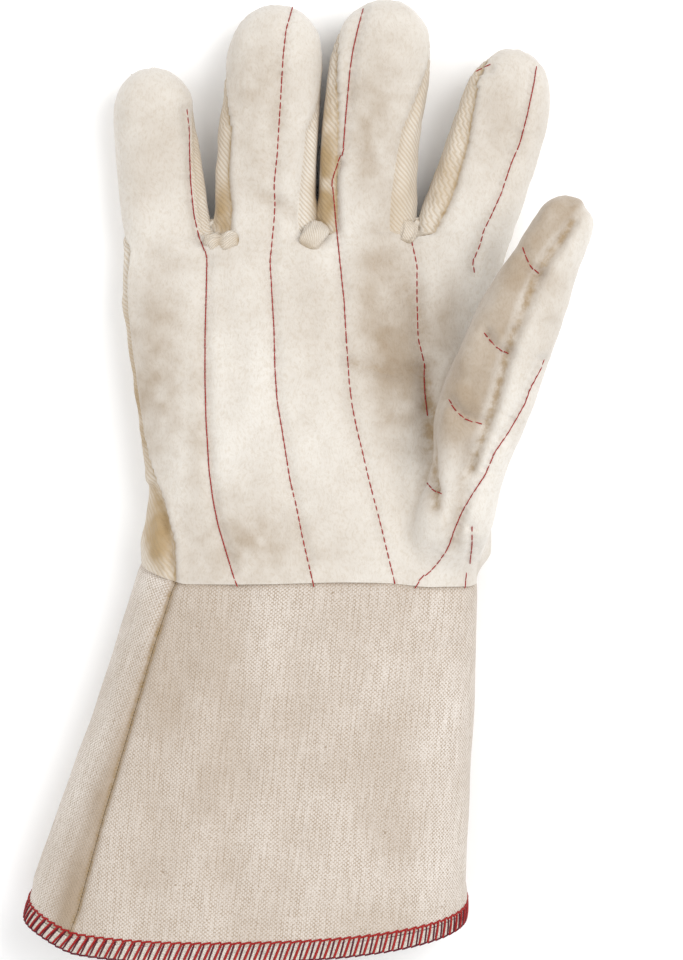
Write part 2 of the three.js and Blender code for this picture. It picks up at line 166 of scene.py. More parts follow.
def soft_noise(points, size, seed):
    """Smooth noise from -1 to 1 whose lumps are about this size."""
    side = 24
    lattice = np.random.default_rng(seed).uniform(-1, 1, (side, side, side))
    place = points / size
    cell = np.floor(place).astype(int)
    f = place - cell
    f = f * f * (3 - 2 * f)
    total = np.zeros(len(points))
    for corner in itertools.product((0, 1), repeat=3):
        i = (cell + corner) % side
        weight = np.prod(np.where(corner, f, 1 - f), axis=1)
        total += weight * lattice[i[:, 0], i[:, 1], i[:, 2]]
    return total


def smooth_curve(points, t):
    """A point of the centripetal Catmull-Rom curve through points, t from 0 to 1."""
    points = np.asarray(points, float)
    last = len(points) - 1
    i = min(int(last * t), last - 1)
    w = last * t - i
    p1, p2 = points[i], points[i + 1]
    p0 = points[i - 1] if i > 0 else 2 * p1 - p2
    p3 = points[i + 2] if i + 2 <= last else 2 * p2 - p1
    d1 = max(np.linalg.norm(p2 - p1), 1e-8) ** 0.5
    d0 = np.linalg.norm(p1 - p0) ** 0.5 or d1
    d2 = np.linalg.norm(p3 - p2) ** 0.5 or d1
    t1 = ((p1 - p0) / d0 - (p2 - p0) / (d0 + d1) + (p2 - p1) / d1) * d1
    t2 = ((p2 - p1) / d1 - (p3 - p1) / (d1 + d2) + (p3 - p2) / d2) * d1
    c2 = -3 * p1 + 3 * p2 - 2 * t1 - t2
    c3 = 2 * p1 - 2 * p2 + t1 + t2
    return p1 + t1 * w + c2 * w**2 + c3 * w**3


def evenly(points, shares):
    """Points and tangents of that curve at shares of its length, and the length."""
    fine = np.array([smooth_curve(points, t) for t in np.linspace(0, 1, 201)])
    run = np.concatenate([[0], np.cumsum(np.linalg.norm(np.diff(fine, axis=0), axis=1))])
    at = np.clip(shares, 0, 1) * run[-1]

    def place(s):
        return np.stack([np.interp(s, run, fine[:, k]) for k in range(3)], axis=1)

    tangent = place(np.minimum(at + 0.2, run[-1])) - place(np.maximum(at - 0.2, 0))
    return place(at), unit(tangent), run[-1]


@dataclass
class Limb:
    """Stations along a limb: each has a centre, the directions across and up, sizes and seams."""

    centre: np.ndarray
    right: np.ndarray
    rise: np.ndarray
    half: np.ndarray
    over: np.ndarray
    under: np.ndarray
    seams: np.ndarray
    shrink: np.ndarray
    rests: bool
    valley: bool = False


def unit(vectors):
    return vectors / np.linalg.norm(vectors, axis=-1, keepdims=True)


def full_turn(count):
    """Even angles once round, the first not repeated."""
    return np.linspace(0, 2 * math.pi, count, endpoint=False)


def finger_limb(finger, steps=22, dome_steps=8):
    level = finger.half_depth - PRESSED_FLAT
    line = [
        (*finger.root, level),
        (*finger.knuckle, level + finger.lift / 3),
        (*finger.tip, level + finger.lift),
    ]
    length = evenly(line, np.array([0.0]))[2]
    dome = finger.dome * finger.tip_half
    turn = np.linspace(0, math.pi / 2, dome_steps + 1)[1:-1]
    straight = np.linspace(0, length - dome, steps + 1)
    along = np.concatenate([straight, length - dome + dome * np.sin(turn), [length]])
    shrink = np.concatenate([np.ones(steps + 1), np.cos(turn), [0.1]])
    share = along / length
    centre, tangent, _ = evenly(line, share)
    flat = unit(tangent * (1, 1, 0))
    half = mix(finger.root_half, finger.tip_half, share) * shrink
    quarters = np.linspace(0, 1, len(finger.outer_seam))
    seams = np.radians([
        np.interp(share, quarters, finger.thumb_side_seam),
        np.interp(share, quarters, finger.outer_seam),
    ]).T
    depth = finger.half_depth * shrink
    return Limb(centre, np.cross(flat, UP), np.tile(UP, (len(along), 1)), half, depth, depth,
                seams, shrink, True)


def through_rows(rows, steps):
    """Rows of values on smooth curves through a table's columns."""
    table = np.asarray(rows, float)
    places = np.arange(len(table), dtype=float)
    shares = np.linspace(0, 1, steps + 1)
    columns = []
    for column in table.T:
        line = np.stack([places, column, 0 * places], axis=1)
        columns.append([smooth_curve(line, t)[1] for t in shares])
    return np.array(columns).T


def palm_limb(steps=60):
    y, left, right, top, seam = through_rows(PALM, steps).T
    n = len(y)
    centre = np.stack([(left + right) / 2, y, np.full(n, PALM_WAIST)], axis=1)
    seams = np.radians(np.stack([0 * seam, seam], axis=1))
    return Limb(centre, np.tile([1.0, 0, 0], (n, 1)), np.tile(UP, (n, 1)), (right - left) / 2,
                top - PALM_WAIST, np.full(n, PALM_WAIST + PRESSED_FLAT), seams, np.ones(n), True)


def thumb_limb(steps=60, dome_steps=9):
    rows = through_rows(THUMB, steps)
    points = rows[:, :3]
    tangent = unit(np.gradient(points, axis=0))
    tip, tip_half = points[-1], rows[-1, 3]
    dome = THUMB_DOME * tip_half
    keep = np.linalg.norm(points - tip, axis=1) > dome
    body, body_tangent = rows[keep], tangent[keep]
    turn = np.linspace(0, math.pi / 2, dome_steps + 1)
    start = tip - tangent[-1] * dome
    domed = start + tangent[-1] * (dome * np.sin(turn))[:, None]
    shrink = np.maximum(np.cos(turn), 0.1)
    last = body[-1, 3:]
    centre = np.concatenate([body[:-1, :3], domed])
    sizes = np.concatenate([body[:-1, 3:], shrink[:, None] * last])
    along = np.concatenate([body_tangent[:-1], np.tile(tangent[-1], (len(turn), 1))])
    right = unit(np.cross(along, UP))
    seams = np.tile(np.radians(THUMB_SEAMS), (len(centre), 1))
    shrinks = np.concatenate([np.ones(len(body) - 1), shrink])
    return Limb(centre, right, np.cross(right, along), *sizes.T, seams, shrinks, False, True)


def hollow_depth(x, y):
    return sum(d * hump(x - cx, rx) * hump(y - cy, ry) for cx, cy, rx, ry, d in HOLLOWS)


def section(limb, angles):
    """Rings of points round a limb: stations by angles by 3."""
    c, s = np.cos(angles), np.sin(angles)
    power = np.where(s >= 0, TOP_POWER, BOTTOM_POWER)
    across = np.sign(c) * np.abs(c) ** (2 / power) * limb.half[:, None]
    depth = np.where(s >= 0, limb.over[:, None], limb.under[:, None])
    up = np.sign(s) * np.abs(s) ** (2 / power) * depth
    dip = 0
    if limb.valley:
        dip = THUMB_VALLEY[0] * hump(angles - math.radians(THUMB_SEAMS[0]), THUMB_VALLEY[1])
        dip = dip * limb.shrink[:, None]
    ring = limb.centre[:, None] + limb.right[:, None] * across[..., None]
    ring = ring + limb.rise[:, None] * (up - dip)[..., None]
    if limb.rests:
        sink = hollow_depth(ring[..., 0], ring[..., 1]) * np.clip(up / limb.over[:, None], 0, 1)
        ring[..., 2] = np.maximum(ring[..., 2] - sink, 0)
    return ring


def tube_faces(rows, columns, first=0):
    """Faces of a closed tube of rings with a fan at each end, pointing out."""
    faces = []
    for r in range(rows - 1):
        for i in range(columns):
            j = (i + 1) % columns
            a, b = first + r * columns, first + (r + 1) * columns
            faces.append((a + i, b + i, b + j, a + j))
    end = first + (rows - 1) * columns
    faces.append(tuple(first + i for i in range(columns)))
    faces.append(tuple(end + i for i in reversed(range(columns))))
    return faces


def new_mesh(name, points_mm, faces):
    """A mesh in metres from points in millimetres."""
    mesh = bpy.data.meshes.new(name)
    mesh.from_pydata((np.asarray(points_mm) * MM).tolist(), [], faces)
    mesh.update()
    return mesh


def new_piece(name, mesh):
    piece = bpy.data.objects.new(name, mesh)
    bpy.context.scene.collection.objects.link(piece)
    return piece


def points_of(mesh):
    """The points of a mesh in millimetres."""
    points = np.empty(len(mesh.vertices) * 3)
    mesh.vertices.foreach_get("co", points)
    return points.reshape(-1, 3) / MM


def normals_of(mesh):
    normals = np.empty(len(mesh.vertices) * 3, np.float32)
    mesh.vertex_normals.foreach_get("vector", normals)
    return normals.reshape(-1, 3).astype(float)


def edges_of(mesh):
    edges = np.empty(len(mesh.edges) * 2, np.int32)
    mesh.edges.foreach_get("vertices", edges)
    return edges.reshape(-1, 2)


def triangles_of(mesh):
    mesh.calc_loop_triangles()
    triangles = np.empty(len(mesh.loop_triangles) * 3, np.int32)
    mesh.loop_triangles.foreach_get("vertices", triangles)
    return triangles.reshape(-1, 3)


def set_points(mesh, points_mm):
    mesh.vertices.foreach_set("co", (points_mm * MM).ravel())
    mesh.update()


def smooth_faces(mesh):
    mesh.polygons.foreach_set("use_smooth", np.ones(len(mesh.polygons), bool))


def set_field(mesh, label, values):
    """A value for each point, which the materials read as an attribute."""
    field = mesh.attributes.get(label) or mesh.attributes.new(label, "FLOAT", "POINT")
    field.data.foreach_set("value", values.astype(np.float32))


def set_flat_places(mesh, flat_mm):
    """Where each point lies on its cloth laid flat, as a UV map in metres."""
    layer = mesh.uv_layers.new(name="cloth")
    corners = np.empty(len(mesh.loops), np.int32)
    mesh.loops.foreach_get("vertex_index", corners)
    layer.data.foreach_set("uv", (flat_mm[corners] * MM).astype(np.float32).ravel())


def apply_modifiers(piece):
    """Puts a piece's modifiers into its mesh."""
    graph = bpy.context.evaluated_depsgraph_get()
    mesh = bpy.data.meshes.new_from_object(piece.evaluated_get(graph))
    old = piece.data
    piece.modifiers.clear()
    piece.data = mesh
    mesh.name = old.name
    bpy.data.meshes.remove(old)


def smoothed(points, edges, weight, rounds):
    """Points moved towards their neighbours' middle, as much as each one's weight says."""
    count = np.bincount(edges.ravel(), minlength=len(points)).clip(1)
    ends = np.concatenate([edges[:, 0], edges[:, 1]])
    others = np.concatenate([edges[:, 1], edges[:, 0]])
    for _ in range(rounds):
        middle = np.stack(
            [np.bincount(ends, points[others, k], len(points)) / count for k in range(3)], axis=1
        )
        points = points + (middle - points) * weight[:, None]
    return points


palm = palm_limb()
fingers = [finger_limb(finger) for finger in FINGERS]
thumb = thumb_limb()

# The hand is formed with its fingers held apart from the crotch line up, then brought together
VOXEL = 2.02
HAND_SIDES = 56
APART_FROM = (CROTCH_Y - 1, CROTCH_Y + 7)
OWN_SHIFT_FROM = (CROTCH_Y + 8, CROTCH_Y + 14)
# Ring and middle press each other flat above this height, this softly, and keep this gap
TOUCH_FROM = (CROTCH_Y + 9, CROTCH_Y + 18)
TOUCH_SOFT = 1.6
TOUCH_GAP = 0.3


def finger_edges(y):
    """The left and right edge of each finger, at heights along Y."""
    edges = []
    for limb in fingers:
        full = limb.half / limb.shrink
        middle = np.interp(y, limb.centre[:, 1], limb.centre[:, 0])
        half = np.interp(y, limb.centre[:, 1], full)
        edges.append((middle - half, middle + half))
    return edges


def finger_of(points):
    """Which finger each point belongs to, from its place in plan, while they are held apart."""
    edges = finger_edges(points[:, 1])
    away = smoothstep(points[:, 1], *APART_FROM)
    owner = np.zeros(len(points), int)
    for k in range(len(FINGERS) - 1):
        right = edges[k][1] + FINGERS[k].apart * away
        left = edges[k + 1][0] + FINGERS[k + 1].apart * away
        owner += points[:, 0] > (left + right) / 2
    return owner


def held_apart(points):
    """How far the fingers' points are held to the side, evened out across the webs."""
    away = smoothstep(points[:, 1], *APART_FROM)
    shift = np.full(len(points), FINGERS[0].apart)
    sides = finger_edges(points[:, 1])
    for k, (one, other) in enumerate(itertools.pairwise(FINGERS)):
        near = sides[k][1] + one.apart * away
        far = sides[k + 1][0] + other.apart * away
        share = np.clip((points[:, 0] - near) / np.maximum(far - near, 0.5), 0, 1)
        shift = shift + (other.apart - one.apart) * share
    return shift * away


def from_between(points):
    """How far points are from the lines between neighbouring fingers."""
    edges = finger_edges(points[:, 1])
    lines = [(one[1] + other[0]) / 2 for one, other in itertools.pairwise(edges)]
    return np.min([np.abs(points[:, 0] - line) for line in lines], axis=0)


def side_by_side(points, owner):
    """The ring and middle fingers, which touch, are pressed flat against each other."""
    edges = finger_edges(points[:, 1])
    held = smoothstep(points[:, 1], *TOUCH_FROM)
    x = points[:, 0].copy()
    names = [finger.name for finger in FINGERS]
    ring, middle = names.index("ring"), names.index("middle")
    between = (edges[ring][1] + edges[middle][0]) / 2
    for side, mine in ((1, owner == ring), (-1, owner == middle)):
        past = (x - between) * side + TOUCH_SOFT + TOUCH_GAP
        over = np.where(mine, np.maximum(past, 0), 0)
        x -= side * held * (over - TOUCH_SOFT * (1 - np.exp(-over / TOUCH_SOFT)))
    return np.stack([x, points[:, 1], points[:, 2]], axis=1)


def formed_hand():
    """The whole hand as one closed skin: limbs joined and evened out by remeshing."""
    angles = full_turn(HAND_SIDES)
    points, faces = [], []
    apart = [0.0] + [finger.apart for finger in FINGERS] + [0.0]
    for limb, shift in zip([palm, *fingers, thumb], apart):
        rings = section(limb, angles)
        flat = rings.reshape(-1, 3)
        flat[:, 0] += shift * smoothstep(flat[:, 1], *APART_FROM)
        faces += tube_faces(len(rings), len(angles), sum(len(p) for p in points))
        points.append(flat)
    mesh = new_mesh("hand", np.concatenate(points), faces)
    piece = new_piece("hand", mesh)
    remesh = piece.modifiers.new("even", "REMESH")
    remesh.mode = "VOXEL"
    remesh.voxel_size = VOXEL * MM
    apply_modifiers(piece)
    mesh = piece.data
    points = points_of(mesh)
    owner = finger_of(points)
    away = smoothstep(points[:, 1], *APART_FROM)
    each = np.array([finger.apart for finger in FINGERS])[owner] * away
    shift = mix(held_apart(points), each, smoothstep(points[:, 1], *OWN_SHIFT_FROM))
    off_thumb = limb_place(points, thumb).ratio > 1.15
    points[:, 0] -= np.where(off_thumb, shift, 0)
    edges = edges_of(mesh)
    at_thumb = limb_place(points, thumb)
    thumb_rim = hump(limb_place(points, palm).depth - at_thumb.depth, 6)
    root_rim = hump(points[:, 1] - CROTCH_Y + 4, 12) * smoothstep(at_thumb.ratio, 1, 1.4)
    points = smoothed(points, edges, np.full(len(points), 0.5), 4)
    points = smoothed(points, edges, 0.6 * np.maximum(thumb_rim, 0.5 * root_rim), 10)
    points[:, 2] = np.maximum(points[:, 2], 0)
    set_points(mesh, points)
    set_field(mesh, "owner", owner)
    return piece


@dataclass
class Place:
    """Where points lie round a limb: nearest station, angle, how far out and how deep."""

    station: np.ndarray
    angle: np.ndarray
    ratio: np.ndarray
    depth: np.ndarray


def limb_place(points, limb):
    """Points' places round a limb. The palm's stations are sought by height, a finger's in plan."""
    if limb is palm:
        gap = np.abs(points[:, None, 1] - limb.centre[None, :, 1])
    elif limb.rests:
        gap = ((points[:, None, :2] - limb.centre[None, :, :2]) ** 2).sum(axis=2)
    else:
        gap = ((points[:, None] - limb.centre[None]) ** 2).sum(axis=2)
    i = gap.argmin(axis=1)
    away = points - limb.centre[i]
    across = (away * limb.right[i]).sum(axis=1)
    up = (away * limb.rise[i]).sum(axis=1)
    power = np.where(up >= 0, TOP_POWER, BOTTOM_POWER)
    full = limb.shrink[i]
    half = limb.half[i] / full
    tall = np.where(up >= 0, limb.over[i], limb.under[i]) / full
    c = np.sign(across) * np.abs(across / half) ** (power / 2)
    s = np.sign(up) * np.abs(up / tall) ** (power / 2)
    angle = np.arctan2(s, c)
    angle = np.where(angle < -math.pi / 2, angle + 2 * math.pi, angle)
    ratio = (c**2 + s**2) ** (1 / power)
    return Place(i, angle, ratio, (ratio - 1) * np.minimum(half, tall))


def in_picture(points):
    """Where points in the frame show in the photograph's frame, in pixels."""
    scale = MM_PER_PIXEL * (1 - points[:, 2] / CAMERA_AT[2])
    px = PICTURE_MIDDLE[0] + (points[:, 0] - CAMERA_AT[0]) / scale
    py = PICTURE_MIDDLE[1] - (points[:, 1] - CAMERA_AT[1]) / scale
    return np.stack([px, py], axis=1)


def line_gap(places, line):
    """How far places are from a line of pixels and how far along it, in mm, and on which side."""
    line = np.asarray(line, float)
    best = np.full(len(places), 1e9)
    along = np.zeros(len(places))
    side = np.zeros(len(places))
    run = 0.0
    for a, b in zip(line[:-1], line[1:]):
        step = b - a
        length = np.linalg.norm(step)
        t = np.clip((places - a) @ step / length**2, 0, 1)
        away = places - a - t[:, None] * step
        gap = np.linalg.norm(away, axis=1)
        closer = gap < best
        best = np.where(closer, gap, best)
        along = np.where(closer, run + t * length, along)
        side = np.where(closer, np.sign(step[0] * away[:, 1] - step[1] * away[:, 0]), side)
        run += length
    return best * MM_PER_PIXEL, along * MM_PER_PIXEL, side


# Rows of red quilting stitches on palm and fingers, as pixels of the photograph
QUILTING = {
    "little": [(187, 112), (189, 130), (190, 166), (191, 187), (194, 215), (199, 237), (207, 257),
               (206, 300), (205, 340), (205, 380), (206, 420), (209, 470), (213, 500), (218, 525),
               (224, 545), (233, 575), (236, 583)],
    "ring": [(292, 9), (286, 30), (283, 58), (281, 93), (277, 157), (274, 184), (275, 202),
             (274, 221), (270, 262), (272, 295), (274, 330), (275, 370), (277, 400), (282, 430),
             (290, 480), (296, 505), (303, 540), (313, 583)],
    "middle": [(363, 10), (358, 28), (353, 50), (350, 70), (346, 113), (343, 152), (339, 159),
               (332, 181), (334, 199), (336, 224), (340, 262), (344, 300), (346, 335), (349, 380),
               (352, 405), (357, 430), (362, 450), (369, 480), (382, 530), (394, 580)],
    "index_crotch": [(412, 243), (417, 265), (417, 300), (418, 338), (421, 350), (425, 367),
                     (424, 375), (425, 395), (427, 412)],
    "index": [(536, 69), (534, 83), (527, 116), (520, 143), (511, 164), (501, 194), (491, 216),
              (484, 230), (480, 245), (474, 259), (472, 266), (474, 270)],
    "index_tip_tack": [(479, 70), (487, 66)],
}
# Rows of stitches on the thumb: the long one along its outer half, and the short tacks across it
THUMB_QUILTING = {
    "thumb_long": [(543, 362), (541, 368), (530, 389), (525, 403), (518, 416), (508, 433),
                   (495, 452), (485, 475), (472, 495), (462, 512), (455, 528), (448, 548),
                   (440, 560), (430, 572), (422, 577), (417, 585)],
    "thumb_tack_top": [(524, 251), (527, 259), (531, 267), (537, 272)],
    "thumb_tack_middle": [(485, 334), (491, 341), (495, 347), (507, 353)],
    "thumb_tack_low": [(450, 401), (453, 407), (460, 415), (467, 420), (478, 423)],
    "thumb_tack_root": [(428, 484), (433, 490), (440, 493)],
    "heel_short": [(472, 530), (472, 545), (470, 562)],
    "heel_tack": [(466, 576), (465, 587)],
}

# The seam down the middle of the thumb, which parts its two halves above and below
THUMB_SPLIT = [(640, 150), (599, 196), (582, 213), (568, 228), (556, 241), (541, 262), (536, 275),
               (524, 300), (518, 317), (511, 337), (504, 356), (497, 385), (486, 420), (474, 460),
               (464, 500), (456, 560), (452, 660)]

# Creases and dents that are pressed into the top: a line of pixels, depth and half width in mm
CREASES = [
    ([(425, 372), (427, 400), (428, 440), (429, 480), (434, 506)], 2.6, 3.6, "both"),
    ([(352, 362), (380, 368), (405, 371), (432, 362)], 1.8, 3.4, "palm"),
    ([(396, 262), (412, 300), (428, 340)], 1.6, 6.0, "palm"),
    ([(262, 196), (283, 206), (300, 216)], 1.3, 3.2, "palm"),
    ([(331, 166), (352, 158), (372, 160)], 0.8, 2.4, "palm"),
    ([(225, 300), (238, 350), (232, 410)], 0.7, 6.0, "palm"),
    ([(310, 300), (316, 350), (306, 420)], 0.6, 6.0, "palm"),
    ([(150, 250), (170, 262), (196, 262)], 0.7, 4.0, "palm"),
    ([(152, 486), (158, 502), (163, 520), (168, 540), (171, 560), (171, 580)], 1.9, 1.4, "both"),
    ([(573, 220), (560, 240), (546, 258), (536, 275), (527, 300), (516, 326), (506, 352),
      (497, 392), (485, 430), (470, 470)], 2.4, 3.0, "thumb"),
    ([(470, 452), (463, 480), (457, 520), (452, 545)], 1.6, 3.2, "thumb"),
    ([(520, 262), (528, 268), (540, 272)], 1.0, 2.0, "thumb"),
    ([(486, 334), (495, 346), (510, 353)], 1.0, 2.2, "thumb"),
    ([(450, 402), (460, 414), (480, 424)], 1.0, 2.2, "thumb"),
    ([(452, 372), (470, 384), (486, 380)], 0.7, 3.0, "thumb"),
    ([(577, 205), (560, 226), (546, 250), (531, 288), (514, 322)], -1.0, 2.2, "thumb"),
    ([(500, 345), (487, 374), (478, 402)], -0.9, 2.4, "thumb"),
    ([(470, 428), (452, 448), (440, 500), (446, 556)], -0.9, 3.6, "thumb"),
    ([(600, 214), (586, 250), (566, 300), (548, 352)], -0.7, 5.0, "thumb"),
    ([(217, 184), (222, 196), (228, 206)], 1.4, 1.5, "palm"),
]

# Patches of painted shade, browner than the lit cloth: middle, reach (pixels) and strength
PAINTED_SHADE_PATCHES = [
    ((152, 380), (40, 130), 0.75),
    ((196, 430), (17, 130), 0.55),
    ((250, 545), (110, 56), 0.66),
    ((374, 290), (26, 80), 0.75),
    ((396, 362), (36, 84), 1.1),
    ((262, 110), (46, 110), 0.55),
    ((375, 120), (42, 110), 0.68),
    ((505, 140), (36, 90), 0.36),
    ((150, 150), (32, 90), 0.25),
    ((448, 400), (20, 52), 0.75),
    ((545, 290), (34, 90), 0.5),
    ((447, 328), (18, 42), 0.7),
    ((424, 400), (8, 60), 0.6),
    ((372, 260), (36, 11), 0.3),
    ((380, 362), (52, 12), 0.3),
    ((510, 310), (11, 24), 0.6),
    ((460, 388), (9, 11), 0.6),
    ((160, 530), (12, 44), 1.2),
    ((226, 262), (16, 14), 0.3),
    ((448, 530), (18, 34), 0.2),
    ((326, 150), (11, 66), 0.95),
    ((322, 204), (13, 30), 1.3),
    ((224, 212), (8, 30), 1.0),
    ((442, 170), (16, 50), 0.45),
]

# Half the width of the web of back cloth between two fingers
WEB_HALF = 2.0

# The quilted channels and their stitches
QUILT_DEPTH = 1.3
QUILT_REACH = 2.4
STITCH_PITCH = 3.1
STITCH_DASH = 2.92
STITCH_THREAD = 0.43
STITCH_DIP = 0.12
STITCH_LIFT = 0.12

# The seam of palm and back, and the strip of back cloth beside it
SEAM_DEPTH = 0.8
SEAM_REACH = 1.4
STRIP_SUNK = 0.6
STRIP_PUFF = 0.8


@dataclass
class Skin:
    """Fields over the hand's skin: which panel a point is in, how creased it is and so its painted
    crease shade, and its painted shade.
    """

    front: np.ndarray
    outer: np.ndarray
    thumb: np.ndarray
    thumb_half: np.ndarray
    wrist: np.ndarray
    painted_crease_shade: np.ndarray
    tone: np.ndarray
    cloth: np.ndarray


def arc_tables(limb):
    """Distance round each section from the middle of its underside, at even angles."""
    angles = np.radians(np.linspace(-90, 270, 145))
    rings = section(limb, angles)
    steps = np.linalg.norm(np.diff(rings, axis=1), axis=2)
    forth = np.concatenate([np.zeros((len(rings), 1)), np.cumsum(steps, axis=1)], axis=1)
    back = forth - forth[:, -1:]
    return angles, np.where(angles <= math.pi / 2, forth, back)


def cloth_across(limb, place):
    """How far across the cloth a point lies when the limb is rolled out flat."""
    angles, table = arc_tables(limb)
    spot = (place.angle - angles[0]) / (angles[1] - angles[0])
    i = np.clip(spot.astype(int), 0, len(angles) - 2)
    near, far = table[place.station, i], table[place.station, i + 1]
    flips = np.abs(far - near) > 20
    arc = np.where(flips, near, mix(near, far, spot - i))
    return limb.centre[place.station, 0] + arc


def wrist_y(x, z):
    """Where the wrist seam runs: lower over the heel of the thumb, higher at the left and below."""
    back = WRIST_BACK_RISE * (1 - smoothstep(z, 0, WRIST_RISE_BELOW))
    left = WRIST_LEFT_RISE * smoothstep(-x, 44, 62)
    heel = WRIST_HEEL_DROP * smoothstep(x, 30, 46)
    return WRIST_Y + back + left - heel + 0.8 * hump(x - 14, 22)


def cuff_height(x):
    """How high the cuff's top is at the wrist, across its width."""
    left, right, top, waist = CUFF_WRIST
    t = np.clip(np.abs(x - (left + right) / 2) / ((right - left) / 2), 0, 0.999)
    return waist + (top - waist) * (1 - t**TOP_POWER) ** (1 / TOP_POWER)


def met_by_cuff(points, wrist):
    """The hand's top brought down and in to lie level with the cuff at their seam."""
    near = 1 - smoothstep(wrist, 0, MEETS_WITHIN)
    closer = 1 - smoothstep(wrist, 0, MEETS_WITHIN / 2)
    x = mix(points[:, 0], np.clip(points[:, 0], *CUFF_WRIST[:2]), closer)
    level = np.minimum(points[:, 2], cuff_height(x) + 0.3)
    z = np.where(points[:, 2] > CUFF_WRIST[3], mix(points[:, 2], level, near), points[:, 2])
    return np.stack([x, points[:, 1], z], axis=1)


def seam_side(place, limb):
    """Millimetres inside the front cloth's seams, negative on the back, and which one is near."""
    seams = limb.seams[place.station]
    radius = (limb.half + limb.over)[place.station] / 2 / limb.shrink[place.station]
    inner, outer = place.angle - seams[:, 0], seams[:, 1] - place.angle
    return np.minimum(inner, outer) * radius, outer < inner


def skin_fields(points, owner):
    """The fields of points in the table's plan."""
    places = [limb_place(points, limb) for limb in fingers]
    at_palm, at_thumb = limb_place(points, palm), limb_place(points, thumb)
    sides = [seam_side(p, f) for p, f in zip(places, fingers)]
    finger_front = np.choose(owner, [side[0] for side in sides])
    finger_outer = np.choose(owner, [side[1] for side in sides])
    palm_front, palm_outer = seam_side(at_palm, palm)
    finger_depth = np.choose(owner, [p.depth for p in places])
    to_palm = 1 - smoothstep(points[:, 1], CROTCH_Y - 5, CROTCH_Y + 3)
    front = mix(finger_front, palm_front, to_palm)
    outer = np.where(to_palm > 0.5, palm_outer, finger_outer)
    web = smoothstep(points[:, 1], CROTCH_Y - 1, CROTCH_Y + 3)
    front = np.minimum(front, mix(99, from_between(points) - WEB_HALF, web))
    body_depth = np.where(points[:, 1] > CROTCH_Y, finger_depth, at_palm.depth)
    on_thumb = body_depth - at_thumb.depth
    off_split, _, side = line_gap(in_picture(points + FRAME_SHIFT), THUMB_SPLIT)
    half = -side * off_split
    across = np.choose(owner, [cloth_across(f, p) for f, p in zip(fingers, places)])
    across = mix(across, cloth_across(palm, at_palm), to_palm)
    cloth = np.stack([across, points[:, 1]], axis=1)
    wrist = points[:, 1] - wrist_y(points[:, 0], points[:, 2])
    nothing = np.zeros(len(points))
    return Skin(front, outer, on_thumb, half, wrist, nothing, nothing, cloth)


def quilted(places, points, masks):
    """Depth and shade of the quilted channels, puckered along their stitches."""
    depth, shade = np.zeros(len(points)), np.zeros(len(points))
    for lines, mask in ((QUILTING, masks["palm"]), (THUMB_QUILTING, masks["thumb"])):
        for line in lines.values():
            gap, along, _ = line_gap(places, line)
            channel = hump(gap, QUILT_REACH) + 0.25 * hump(gap, 7.0)
            pucker = np.cos(2 * math.pi * along / STITCH_PITCH) * hump(gap - 0.8, 1.8)
            rolled = np.stack([along, gap * 0.35, 0 * gap], axis=1)
            folds = np.clip(soft_noise(rolled, 4.2, 7), 0, 1) * hump(gap, 6)
            depth += mask * (QUILT_DEPTH * channel + 0.2 * pucker + 0.6 * folds)
            shade = np.maximum(shade, 0.2 * mask * hump(gap, 1.3))
    return depth, shade


def creased(places, masks, lumps):
    """Depth and shade of the creases and ridges that the photograph shows."""
    depth, shade = np.zeros(len(places)), np.zeros(len(places))
    for line, deep, wide, where in CREASES:
        gap = line_gap(places, line)[0]
        pressed_in = hump(gap, wide) * masks[where]
        depth += deep * pressed_in * (1 + 0.2 * lumps)
        shade = np.maximum(shade, min(max(deep, 0) / 3, 1) * pressed_in)
    return depth, shade


def painted_patch_shade(places, lumps):
    """How much painted shade the patches lay on the cloth."""
    shade = np.zeros(len(places))
    for middle, reach, strength in PAINTED_SHADE_PATCHES:
        away = (places - middle) / reach
        shade = np.maximum(shade, strength * np.exp(-(away**2).sum(axis=1)) * (1 + 0.3 * lumps))
    return shade


def side_seams(points, skin, upward, on_thumb):
    """Depth and painted shade of the seams of palm and back, and of the strips beside them: darker
    along the outer seams and strips.
    """
    side = np.abs(skin.front) + 40 * on_thumb
    strip = smoothstep(-skin.front, 0.2, 1.8) * (1 - on_thumb)
    groove = np.where(skin.outer, 1, 0.3) * (1 + 0.35 * soft_noise(points, 3.4, 11))
    depth = SEAM_DEPTH * hump(side, SEAM_REACH) * groove
    depth += strip * STRIP_SUNK * hump(skin.front + 1.4, 1.8)
    depth += strip * 0.35 * soft_noise(points * (1, 0.4, 1), 2.6, 12)
    depth -= STRIP_PUFF * smoothstep(-skin.front, 2.5, 7) * (1 - on_thumb) * upward
    depth -= 0.5 * hump(skin.front - 3.2, 2.6) * (1 - on_thumb)
    # Painted shade: dark along the outer seams, faint along the others, and the strips beside the
    # outer seams darker
    shade = np.where(skin.outer, 0.85, 0.08) * hump(side, 1.3)
    tone = np.where(skin.outer, 0.14, 0.06) * strip * upward
    return depth, shade, tone


def thumb_seams(points, skin, on_thumb, inner, lumps):
    """Depth and painted shade where the thumb leaves the palm and where its two halves meet, and
    painted shade over the thumb's inner half.
    """
    rim = hump(skin.thumb, 2.6) * smoothstep(points[:, 1], -22, 4)
    half = hump(skin.thumb_half, 2.4) * on_thumb * smoothstep(skin.wrist, 3, 16)
    shade = np.maximum(0.7 * rim, 0.4 * half * smoothstep(points[:, 1], -20, 20))
    return 1.6 * rim + 0.8 * half, shade, inner * (1 + 0.1 * lumps)


def wrist_drawn_in(points, skin):
    """How deep the wrist seam sits, and how far the cloth bulges above it at the left."""
    left = smoothstep(-points[:, 0], 42, 56)
    return 0.5 * hump(skin.wrist, 1.6) - 1.3 * hump(skin.wrist - 9, 8) * left


def swollen(points, skin, inner):
    """Slow bulges of the padding, finer on the thumb's inner half and none at the wrist seam."""
    swell = 0.8 * soft_noise(points, 26, 1) + 0.4 * soft_noise(points, 11, 2)
    swell += 0.55 * inner * soft_noise(points * (1, 0.5, 1), 6.5, 14)
    return swell * smoothstep(skin.wrist, 0, 10)


